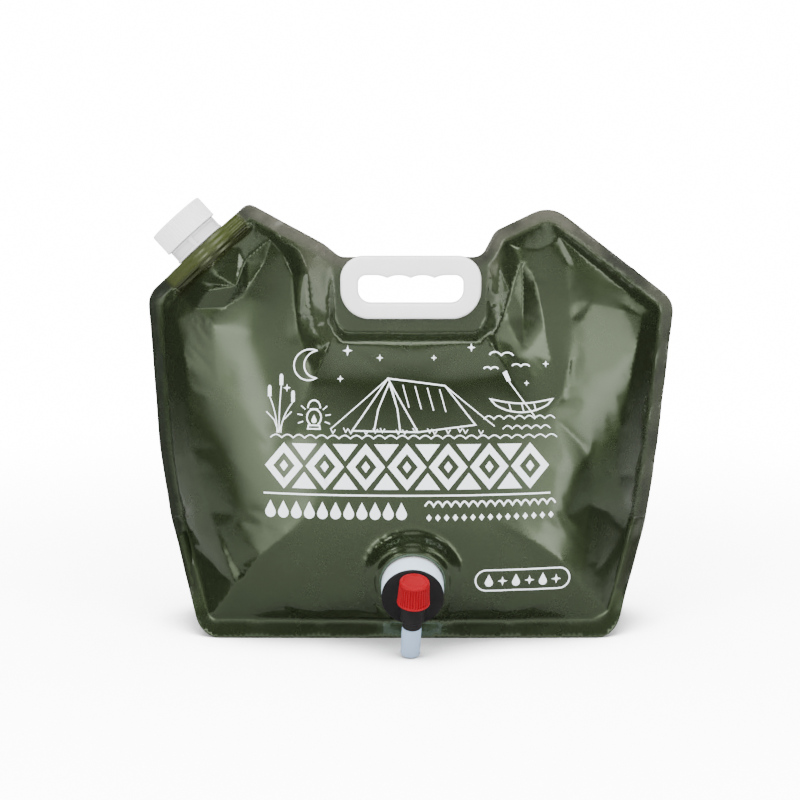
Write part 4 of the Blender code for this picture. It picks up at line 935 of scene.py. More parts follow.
class Graph:
    """The nodes of one material, group or world, added and linked by name."""

    def __init__(self, tree: bpy.types.NodeTree) -> None:
        """Keeps the tree that nodes are added to."""
        self.tree = tree

    def feed(self, node: bpy.types.Node, inputs: dict[str | int, object]) -> None:
        """Gives inputs of a node, by name or number, their values or links."""
        for key, value in inputs.items():
            socket = node.inputs[key]
            if isinstance(value, Socket):
                self.tree.links.new(value, socket)
            else:
                socket.default_value = value

    def add(self, kind: str, inputs: dict[str | int, object] | None = None,
            **settings: object) -> bpy.types.Node:
        """A new node with its settings and input values or links.

        Args:
            kind: The node's type name without its ShaderNode prefix.
            inputs: Values or output sockets for the inputs, by name or number.
            settings: Properties of the node.

        Returns:
            The new node.
        """
        node = self.tree.nodes.new(kind if kind.startswith("Node") else f"ShaderNode{kind}")
        for key, value in settings.items():
            setattr(node, key, value)
        self.feed(node, inputs or {})
        return node

    def value(self, operation: str, *terms: object) -> Socket:
        """What comes of an operation on one or more values."""
        return self.add("Math", dict(enumerate(terms)), operation=operation).outputs[0]

    def part(self, vector: Socket, number: int) -> Socket:
        """One part of a vector: 0 for X, 1 for Y, 2 for Z."""
        return self.add("SeparateXYZ", {0: vector}).outputs[number]

    def place(self, kind: str = "Object") -> Socket:
        """Where the shaded point is."""
        return self.add("TexCoord").outputs[kind]

    def noise(self, place: Socket, scale: object, detail: float, **inputs: float) -> Socket:
        """Cloudy noise from 0 to 1."""
        inputs = {"Vector": place, "Scale": scale, "Detail": detail, **inputs}
        return self.add("TexNoise", inputs).outputs["Fac"]

    def ramp(self, factor: Socket, low: float, high: float) -> Socket:
        """A smooth 0 to 1 step of a value between two bounds."""
        inputs = {0: factor, 1: low, 2: high, 3: 0.0, 4: 1.0}
        return self.add("MapRange", inputs, interpolation_type="SMOOTHSTEP").outputs[0]

    def between(self, factor: Socket, first: object, second: object) -> Socket:
        """A value that goes from one to another as a factor goes from 0 to 1."""
        return self.add("MapRange", {0: factor, 3: first, 4: second}).outputs[0]

    def mix(self, factor: object, first: object, second: object) -> Socket:
        """A blend of two colours."""
        return self.add("Mix", {0: factor, 6: first, 7: second}, data_type="RGBA").outputs[2]

    def blend(self, factor: object, first: bpy.types.Node, second: bpy.types.Node) -> bpy.types.Node:
        """A blend of two shaders."""
        return self.add("MixShader", {0: factor, 1: first.outputs[0], 2: second.outputs[0]})

    def bump(self, strength: float, distance: float, height: Socket) -> Socket:
        """The normal of a surface with fine relief."""
        return self.add("Bump", {"Strength": strength, "Distance": distance, "Height": height}).outputs[0]


class Handling:
    """Shared effect: faint scuffs and finger grease, as a mask and a height."""

    roughness = 0.65
    grain_per_cloud = 9.0
    mask_span = (0.46, 0.68)

    def __init__(self) -> None:
        """Builds the node group once."""
        group = bpy.data.node_groups.new("handling", "ShaderNodeTree")
        for way, names in (("INPUT", ("Scale", "Amount")), ("OUTPUT", ("Mask", "Height"))):
            for name in names:
                group.interface.new_socket(name, in_out=way, socket_type="NodeSocketFloat")
        graph = Graph(group)
        scale, amount, *_ = graph.add("NodeGroupInput").outputs
        place = graph.place()
        cloud = graph.noise(place, scale, 6.0, Roughness=self.roughness)
        grain = graph.noise(place, graph.value("MULTIPLY", scale, self.grain_per_cloud), 3.0)
        mask = graph.value("MULTIPLY", graph.ramp(cloud, *self.mask_span), amount)
        graph.add("NodeGroupOutput", {0: mask, 1: grain})
        self.group = group

    def use(self, graph: Graph, scale: float, amount: float) -> bpy.types.bpy_prop_collection:
        """Places the effect in a material with its own values, and gives its mask and height."""
        return graph.add("Group", {"Scale": scale, "Amount": amount}, node_tree=self.group).outputs


def begun_material(name: str) -> tuple[bpy.types.Material, Graph, bpy.types.Node]:
    """A new material with its graph and its shader."""
    made = bpy.data.materials.new(name)
    made.use_nodes = True
    return made, Graph(made.node_tree), made.node_tree.nodes["Principled BSDF"]


@dataclass(frozen=True)
class Plastic:
    """A moulded plastic: its colour, its worn colour, gloss and grain."""

    name: str
    slot: str
    colour: Colour
    worn: Colour
    roughness: float = 0.35
    worn_roughness: float = 0.5
    grain: float = 0.05
    scale: float = 60.0
    clear: float = 0.0
    specular: float = 0.5
    wear: float = 0.7
    grain_depth: float = 0.0002

    def material(self, handling: Handling) -> bpy.types.Material:
        """The finish as a Blender material."""
        made, graph, shader = begun_material(self.name)
        mask, height = handling.use(graph, self.scale, self.wear)
        graph.feed(shader, {
            "Base Color": graph.mix(mask, rgba(self.colour), rgba(self.worn)),
            "Roughness": graph.between(mask, self.roughness, self.worn_roughness),
            "Normal": graph.bump(self.grain, self.grain_depth, height),
            "Transmission Weight": self.clear,
            "Specular IOR Level": self.specular})
        return made


@dataclass(frozen=True)
class Film:
    """The green laminate: dark over the water, olive where two films are welded.

    Lengths are in metres, and a pair of them is where a share is 0 and where it is 1.
    """

    name: str = "green_film"
    body: Colour = (0.059, 0.084, 0.038)
    body_light: Colour = (0.073, 0.100, 0.049)
    weld: Colour = (0.082, 0.081, 0.061)
    low_weld: Colour = (0.036, 0.042, 0.026)
    # Painted shade: near-black colour of the welded rim at the far left, standing for a rim turned away
    # from the light.
    left_shade_colour: Colour = (0.012, 0.016, 0.009)
    spout: Colour = (0.046, 0.058, 0.015)
    below_edge: Pair = (-0.021, -0.014)
    along_boat: Pair = (0.040, 0.033)
    # Where the painted shade of the left rim fades out along x.
    left_shade_fade: Pair = (-0.185, -0.150)
    up_weld: Pair = (0.235, 0.285)
    cloud_scale: float = 9.0
    cloud_span: Pair = (0.35, 0.7)
    patch_scale: float = 22.0
    patch_span: Pair = (0.40, 0.60)
    patch_shade: float = 0.60
    sheen: float = 0.90
    weld_sheen: float = 0.35
    # Coat weight on the left rim, lowered so that the painted shade there stays dark.
    left_shade_coat: float = 0.25
    sheen_roughness: float = 0.26
    handled_roughness: float = 0.03
    handling_scale: float = 24.0
    coat_roughness: float = 0.065
    coat_ior: float = 1.52
    specular: float = 0.2
    ripple_scale: float = 55.0
    ripple: float = 0.06
    ripple_depth: float = 0.001

    def boat_share(self, graph: Graph, place: Socket, pattern: Pattern) -> Socket:
        """1 over the filler's boat, 0 elsewhere."""
        middle, along = pattern.spout_seam()
        axes = {"Vector": place, "Location": (middle.real, 0.0, middle.imag),
                "Rotation": (0.0, -cmath.phase(along), 0.0)}
        at = graph.add("Mapping", axes, vector_type="TEXTURE").outputs[0]
        below = graph.ramp(graph.part(at, 2), *self.below_edge)
        near = graph.ramp(graph.value("ABSOLUTE", graph.part(at, 0)), *self.along_boat)
        return graph.value("MULTIPLY", below, near)

    def weld_colour(self, graph: Graph, place: Socket, left_shade_fade: Socket) -> Socket:
        """Colour of the welded film: near black at the far left as a painted shade, patchy, and paler
        towards the horns.
        """
        patchy = graph.ramp(graph.noise(place, self.patch_scale, 3.0), *self.patch_span)
        high = graph.ramp(graph.part(place, 2), *self.up_weld)
        pale = graph.mix(high, rgba(self.low_weld), rgba(self.weld))
        pale = graph.mix(patchy, rgba(tuple(part * self.patch_shade for part in self.low_weld)), pale)
        # Painted shade: the far left of the weld is mixed to a near-black colour.
        return graph.mix(left_shade_fade, rgba(self.left_shade_colour), pale)

    def material(self, handling: Handling, pattern: Pattern) -> bpy.types.Material:
        """The finish as a Blender material, its olive patch placed over the filler's boat."""
        made, graph, shader = begun_material(self.name)
        place = graph.place()
        cloud = graph.ramp(graph.noise(place, self.cloud_scale, 2.0), *self.cloud_span)
        body = graph.mix(cloud, rgba(self.body), rgba(self.body_light))
        weld = graph.add("Attribute", attribute_name="weld").outputs["Fac"]
        left_shade_fade = graph.ramp(graph.part(place, 0), *self.left_shade_fade)
        colour = graph.mix(weld, body, self.weld_colour(graph, place, left_shade_fade))
        # Painted shade mask: welded film at the far left, where the coat is thinned as well.
        painted_shade = graph.value("MULTIPLY", weld, graph.value("SUBTRACT", 1.0, left_shade_fade))
        mask, _ = handling.use(graph, self.handling_scale, 1.0)
        normal = graph.bump(self.ripple, self.ripple_depth, graph.noise(place, self.ripple_scale, 2.0))
        graph.feed(shader, {
            "Base Color": graph.mix(self.boat_share(graph, place, pattern), colour, rgba(self.spout)),
            "Roughness": graph.between(mask, self.sheen_roughness,
                                       self.sheen_roughness + self.handled_roughness),
            "Metallic": graph.between(weld, self.sheen, self.weld_sheen),
            "Coat Weight": graph.between(painted_shade, 1.0, self.left_shade_coat),
            "Coat Roughness": self.coat_roughness,
            "Coat IOR": self.coat_ior,
            "Specular IOR Level": self.specular,
            "Normal": normal,
            "Coat Normal": normal})
        return made


WHITE = Plastic("white_moulding", "white_plastic", (0.94, 0.94, 0.935), (0.90, 0.90, 0.89), 0.32, 0.42)
COLLAR_WHITE = Plastic("collar_white", "white_plastic", (0.56, 0.69, 0.81), (0.53, 0.66, 0.78), 0.30, 0.40)
MILKY = Plastic("milky_moulding", "milky_plastic", (0.66, 0.66, 0.67), (0.61, 0.61, 0.62), 0.30, 0.42)
BLACK = Plastic("black_moulding", "black_plastic", (0.0075, 0.0065, 0.0070), (0.012, 0.011, 0.0115),
                0.46, 0.56, 0.10, specular=0.22)
RED = Plastic("red_moulding", "red_plastic", (0.240, 0.0012, 0.0062), (0.225, 0.0012, 0.0058),
              0.38, 0.42, specular=0.12)
TUBE = Plastic("clear_tube", "clear_tube", (0.355, 0.475, 0.65), (0.325, 0.44, 0.615),
               0.22, 0.32, 0.03, 40.0, 0.30)
RUBBER = Plastic("rubber_seal", "rubber", (0.030, 0.030, 0.030), (0.045, 0.045, 0.045), 0.75, 0.85, 0.2)
PRINT = Plastic("print_white", "white_plastic", (0.84, 0.90, 0.93), (0.78, 0.84, 0.88), 0.25, 0.35, 0.02)


class Finishes:
    """Every material of the bag, made once."""

    def __init__(self, pattern: Pattern) -> None:
        """Builds the shared effect and the materials."""
        self.handling = Handling()
        self.film = Film().material(self.handling, pattern)
        self.made: dict[str, bpy.types.Material] = {}

    def of(self, plastic: Plastic) -> bpy.types.Material:
        """The material of a plastic."""
        if plastic.name not in self.made:
            self.made[plastic.name] = plastic.material(self.handling)
        return self.made[plastic.name]

    def dress(self, piece: Object, plastic: Plastic) -> None:
        """Gives a piece or a node its finish."""
        piece.data.materials.clear()
        piece.data.materials.append(self.of(plastic))

    def wrap(self, made: Object, node: str) -> None:
        """Gives a film its finish, its body and the node that it stands for."""
        made.data.materials.append(self.film)
        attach(made, Body.BAG.value)
        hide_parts(node)
        LOG.info("%s: %d faces", made.name, len(made.data.polygons))


# Moulded pieces


def extruded(x: float, y: float, z: float) -> None:
    """In edit mode, draws what is selected out by a step."""
    bpy.ops.mesh.extrude_region_move(TRANSFORM_OT_translate={"value": (x, y, z)})


def resized(scale: Triple, middle: Triple = (0.0, 0.0, 0.0)) -> None:
    """In edit mode, scales what is selected about a point."""
    bpy.ops.transform.resize(value=scale, center_override=middle)


def ringed(start: Ring, rings: Iterable[Ring]) -> None:
    """In edit mode, draws a loop out through rings, each a radius and a height in metres."""
    radius, height = start
    for wide, high in rings:
        extruded(0.0, 0.0, high - height)
        resized((wide / radius, wide / radius, 1.0), (0.0, 0.0, high))
        radius, height = wide, high


def begun(name: str) -> Object:
    """Names the primitive just added, settles it in its mesh and opens it in edit mode."""
    made = bpy.context.object
    made.name = made.data.name = name
    chosen(made)
    bpy.ops.object.transform_apply(location=True, rotation=True, scale=True)
    bpy.ops.object.mode_set(mode="EDIT")
    bpy.ops.mesh.select_all(action="SELECT")
    return made


def everything(kind: str) -> None:
    """In edit mode, selects every vertex, edge or face."""
    bpy.ops.mesh.select_mode(type=kind)
    bpy.ops.mesh.select_all(action="SELECT")


def picked(made: Object, kind: str, test: Callable[[Element], bool]) -> None:
    """In edit mode, selects only the vertices, edges or faces that pass a test."""
    bpy.ops.mesh.select_mode(type=kind)
    bpy.ops.mesh.select_all(action="DESELECT")
    shape = bmesh.from_edit_mesh(made.data)
    parts = {"VERT": shape.verts, "EDGE": shape.edges, "FACE": shape.faces}[kind]
    for part in parts:
        if test(part):
            part.select_set(True)
    shape.select_flush_mode()
    bmesh.update_edit_mesh(made.data, loop_triangles=False, destructive=False)


def closed_up(made: Object) -> Object:
    """Merges doubled points, turns every face outwards and leaves edit mode."""
    everything("VERT")
    bpy.ops.mesh.remove_doubles(threshold=TINY)
    bpy.ops.mesh.normals_make_consistent(inside=False)
    bpy.ops.object.mode_set(mode="OBJECT")
    return made


def turned(name: str, profile: Sequence[Ring], steps: int = 96, hollow: bool = False) -> Object:
    """A round piece drawn out of a circle ring by ring, along +Z.

    Args:
        name: The piece's name.
        profile: Radius and height of each ring, in millimetres.
        steps: Points round the circle.
        hollow: Joins the last ring to the first. A piece that isn't hollow is closed at both ends.

    Returns:
        The piece, still about the Z axis through the origin.
    """
    deselected()
    rings = [(wide * MM, high * MM) for wide, high in profile]
    bpy.ops.mesh.primitive_circle_add(vertices=steps, radius=rings[0][0], location=(0.0, 0.0, rings[0][1]),
                                      fill_type="NOTHING" if hollow else "NGON")
    made = begun(name)
    ringed(rings[0], rings[1:] + (rings[:1] if hollow else []))
    return closed_up(made)


def ribbed(made: Object, band: Pair, least_radius: float, count: int,
           columns: int, depth: float, crest: int = 2) -> None:
    """Draws in the valleys between the ribs of a turned piece.

    Args:
        made: The piece, with count times columns points round it.
        band: Lowest and highest ring of the ribs, in millimetres.
        least_radius: Rings inside this radius, in millimetres, stay round.
        count: Ribs round the piece.
        columns: Points in each rib and its valley.
        depth: How far the valleys go in, as a share of the radius.
        crest: Points of each rib that stay out.
    """
    step = 2 * math.pi / (count * columns)
    low, high = band[0] * MM - TINY, band[1] * MM + TINY

    def in_valley(vert: bmesh.types.BMVert) -> bool:
        """Whether a point lies on a valley of the band."""
        spot = vert.co
        inside = low < spot.z < high and spot.xy.length > least_radius * MM
        return inside and round(math.atan2(spot.y, spot.x) / step) % columns >= crest

    chosen(made)
    bpy.ops.object.mode_set(mode="EDIT")
    picked(made, "VERT", in_valley)
    resized((1.0 - depth, 1.0 - depth, 1.0))
    bpy.ops.object.mode_set(mode="OBJECT")


def combined(made: Object, form: Object, operation: str) -> Object:
    """Adds or takes away another form with an applied Boolean, and deletes that form."""
    change = made.modifiers.new(operation.lower(), "BOOLEAN")
    change.operation = operation
    change.solver = "EXACT"
    change.object = form
    applied(made)
    bpy.data.objects.remove(form, do_unlink=True)
    return made


def put(made: Object, place: Matrix) -> Object:
    """Moves a piece from the origin to its place and settles it in its mesh."""
    chosen(made)
    made.matrix_world = place
    bpy.ops.object.transform_apply(location=True, rotation=True, scale=True)
    return made


@dataclass
class Piece:
    """What every finished piece is told: its body, its finish and the nodes that it stands for."""

    finishes: Finishes

    def finished(self, made: Object, body: Body, plastic: Plastic, node: str) -> None:
        """Dresses a piece, rides it on its body and hides the node that it replaces."""
        self.finishes.dress(made, plastic)
        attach(made, body.value)
        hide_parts(node)
        LOG.info("%s: %d faces, on %s", made.name, len(made.data.polygons), body.value)


@dataclass
class CarryHandle(Piece):
    """Two halves clipped together through the film, with four finger lobes over the grip."""

    pattern: Pattern
    thickness: float = 0.0056
    seat: float = 0.00105
    rounding: float = 0.0022
    rounding_steps: int = 6
    crown: float = 0.00015
    crown_width: float = 0.0030
    corner_steps: int = 12
    lobes: int = 4
    lobe_cuts: int = 29
    lobe_slack: float = 1e-3
    facing: float = 0.9
    sharp_from: float = 40.0
    end_share: float = 0.25
    ridge: float = 0.0021
    collar_wall: float = 0.0020
    collar_reach: float = 0.0024
    collar_inset: float = 0.00015
    collar_root: float = 2.2
    clearance: float = 0.0003

    def centre(self, of_grip: bool) -> Pair:
        """Middle of the grip or of the whole handle, seen from the front."""
        top = self.pattern.handle_top()
        if of_grip:
            top = top - self.pattern.grip_below_top
            return self.pattern.handle_centre, top - self.pattern.grip_size[1] / 2
        return self.pattern.handle_centre, top - self.pattern.handle_size[1] / 2

    def sheet(self, made: Object | None, of_grip: bool, grow: float, name: str) -> Object:
        """A flat rounded face in the XZ plane, added to a piece in edit mode or begun as a new one.

        Args:
            made: The piece being edited, or None for a new one.
            of_grip: The shape of the finger opening, not of the whole handle.
            grow: How much wider it is on every side.
            name: The name of a new piece.

        Returns:
            The piece, in edit mode.
        """
        size = self.pattern.grip_size if of_grip else self.pattern.handle_size
        radii = self.pattern.grip_radii if of_grip else self.pattern.handle_radii
        x, z = self.centre(of_grip)
        if made is None:
            deselected()
        bpy.ops.mesh.primitive_plane_add(size=1.0, location=(x, 0.0, z), rotation=(math.pi / 2, 0.0, 0.0))
        if made is None:
            made = begun(name)
        wide, tall = size[0] + 2 * grow, size[1] + 2 * grow
        resized((wide, 1.0, tall), (x, 0.0, z))
        for radius, side in ((radii[0], 1), (radii[1], -1)):
            picked(made, "VERT", lambda vert: abs(abs(vert.co.x - x) - wide / 2) < TINY
                   and abs((vert.co.z - z) * side - tall / 2) < TINY)
            bpy.ops.mesh.bevel(offset=radius + grow, segments=self.corner_steps, affect="VERTICES")
        return made

    def scalloped(self, made: Object) -> None:
        """Subdivides the grip's top edge and draws the ridges between the finger lobes down."""
        x, z = self.centre(True)
        top = z + self.pattern.grip_size[1] / 2
        straight = self.pattern.grip_size[0] - 2 * self.pattern.grip_radii[0]
        pitch = straight / (self.lobes - self.end_share)
        picked(made, "EDGE", lambda edge: all(abs(v.co.z - top) < TINY for v in edge.verts)
               and edge.calc_length() > straight / 2)
        bpy.ops.mesh.subdivide(number_cuts=self.lobe_cuts)
        for k in range(1, self.lobe_cuts + 1):
            spot = x - straight / 2 + straight * k / (self.lobe_cuts + 1)
            quarter = abs(spot - x) * 4 / pitch
            if quarter > 2 * (self.lobes - 1) - self.lobe_slack:
                continue
            drop = self.ridge * (abs(0.5 - quarter % 4 / 4) * 2) ** 2
            picked(made, "VERT", lambda vert: abs(vert.co.x - spot) < TINY
                   and abs(vert.co.z - top) < TINY)
            bpy.ops.transform.translate(value=(0.0, 0.0, -drop))

    def ring(self, name: str, outer: tuple[bool, float], inner: tuple[bool, float], lobes: bool,
             near: float, far: float) -> Object:
        """A flat band between two rounded loops, drawn out along Y, still in edit mode.

        Args:
            name: The piece's name.
            outer: Whether the outer loop is a grip, and how much it is grown.
            inner: The same of the inner loop.
            lobes: Whether the inner loop has finger lobes.
            near: Y of its first face.
            far: Y of its second face.

        Returns:
            The band.
        """
        made = self.sheet(None, *outer, name)
        self.sheet(made, *inner, name)
        everything("FACE")
        bpy.ops.mesh.delete(type="ONLY_FACE")
        everything("EDGE")
        bpy.ops.mesh.bridge_edge_loops()
        if lobes:
            self.scalloped(made)
        bpy.ops.mesh.select_all(action="SELECT")
        bpy.ops.transform.translate(value=(0.0, near, 0.0))
        extruded(0.0, far - near, 0.0)
        return made

    def half(self, side: Side) -> Object:
        """One half: a puffed band, with the collar on the front one and its recess in the rear one."""
        way = side.value
        seat, face = self.seat * way, (self.seat + self.thickness) * way
        made = self.ring(f"handle_half_{side.name.lower()}", (False, 0.0), (True, 0.0), True,
                         seat, face - self.rounding * way)
        closed_up(made)
        bpy.ops.object.mode_set(mode="EDIT")
        picked(made, "FACE", lambda part: part.normal.y * way > self.facing)
        for k in range(self.rounding_steps):
            start, end = (math.pi / 2 * turn / self.rounding_steps for turn in (k, k + 1))
            bpy.ops.mesh.inset(thickness=self.rounding * (math.cos(start) - math.cos(end)),
                               depth=self.rounding * (math.sin(end) - math.sin(start)))
        bpy.ops.mesh.inset(thickness=self.crown_width, depth=self.crown)
        closed_up(made)
        if side is Side.FRONT:
            collar = self.ring("collar_form", (True, self.collar_wall), (True, self.collar_inset), False,
                               seat * self.collar_root, self.seat + self.collar_reach)
            return combined(made, closed_up(collar), "UNION")
        recess = self.sheet(None, True, self.collar_wall + self.clearance, "recess_form")
        bpy.ops.mesh.select_all(action="SELECT")
        extruded(0.0, self.seat + self.collar_reach + self.clearance, 0.0)
        return combined(made, closed_up(recess), "DIFFERENCE")

    def build(self) -> None:
        """Makes both halves in the place of their nodes."""
        for side, node in ((Side.FRONT, "handle_front"), (Side.REAR, "handle_rear")):
            self.finished(smooth(self.half(side), self.sharp_from), Body.BAG, WHITE, node)


@dataclass
class Filler(Piece):
    """Spout with its weld boat and carrying lugs, and the ribbed screw cap."""

    pattern: Pattern
    steps: int = 96
    bore: float = 16.0
    rim_height: float = 24.6
    rim_chamfer: float = 0.4
    neck: Profile = ((18.9, 24.6), (19.5, 24.4), (19.8, 24.0), (19.8, 10.6), (20.2, 10.4), (20.4, 10.2),
                     (20.6, 9.9), (20.6, 8.9), (20.3, 8.6), (19.0, 8.5), (19.0, 2.5), (20.8, 2.3),
                     (21.2, 2.0), (21.2, 0.9), (20.9, 0.6), (18.2, 0.5), (17.6, 0.0))
    lugs: int = 4
    lug_half_width: float = 0.0017
    lug_reach: float = 0.0206
    lug_inner: float = 0.0183
    lug_span: Pair = (2.0, 9.0)
    lug_rounding: float = 0.0005
    boat_share: float = 0.96
    boat_levels: int = 4
    boat_rib: tuple[Pair, ...] = ((0.13, 0.95), (0.45, 0.95), (0.58, 1.0), (1.0, 1.0))
    cap_ribs: int = 54
    cap_columns: int = 4
    cap_core: float = 22.0
    cap_rib_depth: float = 0.020
    cap: Profile = ((21.1, 26.2), (21.1, 11.2), (21.5, 10.8), (22.5, 10.8), (22.75, 11.05),
                    (22.75, 11.9), (22.5, 12.15), (22.62, 12.6), (22.62, 26.5), (22.5, 27.2),
                    (22.25, 27.7), (21.8, 28.1), (21.1, 28.3), (19.2, 28.3), (18.9, 28.15),
                    (6.0, 28.15))
    cap_band: Pair = (12.6, 26.5)

    def place(self) -> Matrix:
        """The filler's own axes: X along the slanting seam, Z out of the shoulder."""
        middle, along = self.pattern.spout_seam()
        turn = Matrix.Rotation(-cmath.phase(along), 4, "Y")
        return Matrix.Translation((middle.real, 0.0, middle.imag)) @ turn

    def columns(self, made: Object, height: float, reach: float, now: list[float],
                wanted: list[float]) -> None:
        """Gives every pair of points across the last ring its own half thickness.

        Args:
            made: The piece in edit mode.
            height: Height of the ring.
            reach: Half the ring's length along X.
            now: Half thickness of the ring at each pair.
            wanted: The half thickness to give it.
        """
        for k, (old, new) in enumerate(zip(now, wanted), 1):
            x = reach * math.cos(2 * math.pi * k / self.steps)
            picked(made, "VERT", lambda vert: abs(vert.co.x - x) < NEAR and abs(vert.co.z - height) < TINY
                   and abs(abs(vert.co.y) - old) < NEAR)
            resized((1.0, new / old, 1.0), (x, 0.0, height))

    def spout(self) -> Object:
        """The bore, the neck with its flange and bead, and the ribbed weld boat in one shell."""
        deselected()
        length, bore = self.pattern.boat_half_length, self.bore * MM
        depth = self.pattern.boat_depth * self.boat_share
        turns = [2 * math.pi * k / self.steps for k in range(1, self.steps // 2)]
        lens = [float(self.pattern.boat_half(np.array([length * math.cos(turn)]))[0]) for turn in turns]
        bpy.ops.mesh.primitive_circle_add(vertices=self.steps, radius=bore, location=(0.0, 0.0, -depth))
        made = begun("filler_spout")
        rim = ((self.bore, self.rim_height - self.rim_chamfer),
               (self.bore + self.rim_chamfer, self.rim_height))
        rings = [(wide * MM, high * MM) for wide, high in rim + self.neck]
        ringed((bore, -depth), rings + [(length, 0.0)])
        self.columns(made, 0.0, length, [length * math.sin(turn) for turn in turns], lens)
        picked(made, "EDGE", lambda edge: edge.is_boundary and abs(edge.verts[0].co.z) < TINY)
        pitch = depth / self.boat_levels
        height, width = 0.0, 1.0
        for rib in range(self.boat_levels):
            for share, squeeze in self.boat_rib:
                level = -pitch * (rib + share)
                extruded(0.0, 0.0, level - height)
                resized((1.0, squeeze / width, 1.0), (0.0, 0.0, level))
                height, width = level, squeeze
        extruded(0.0, 0.0, 0.0)
        resized((bore / length, 1.0, 1.0), (0.0, 0.0, height))
        self.columns(made, height, bore, lens, [bore * math.sin(turn) for turn in turns])
        return closed_up(made)

    def lug(self) -> Object:
        """One upright rib on the neck, from a beveled block."""
        deselected()
        low, high = (edge * MM for edge in self.lug_span)
        middle = ((self.lug_inner + self.lug_reach) / 2, 0.0, (low + high) / 2)
        bpy.ops.mesh.primitive_cube_add(size=1.0, location=middle)
        made = begun("lug_form")
        resized((self.lug_reach - self.lug_inner, 2 * self.lug_half_width, high - low), middle)
        picked(made, "EDGE", lambda edge: all(v.co.x > self.lug_reach - NEAR for v in edge.verts)
               and abs(edge.verts[0].co.z - edge.verts[1].co.z) > NEAR)
        bpy.ops.mesh.bevel(offset=self.lug_rounding, segments=3, affect="EDGES")
        return closed_up(made)

    def build(self) -> None:
        """Makes the spout and its cap, and puts them on the shoulder."""
        spout = self.spout()
        for k in range(self.lugs):
            turn = Matrix.Rotation(math.pi * (2 * k / self.lugs + 0.5), 4, "Z")
            combined(spout, put(self.lug(), turn), "UNION")
        self.finished(smooth(put(spout, self.place())), Body.BAG, MILKY, "fill_spout")
        cap = turned("filler_cap_shell", self.cap, self.cap_ribs * self.cap_columns)
        ribbed(cap, self.cap_band, self.cap_core, self.cap_ribs, self.cap_columns, self.cap_rib_depth)
        cap = smooth(put(cap, self.place()), RIB_ANGLE)
        self.finished(cap, Body.FILLER_CAP, WHITE, "fill_cap")


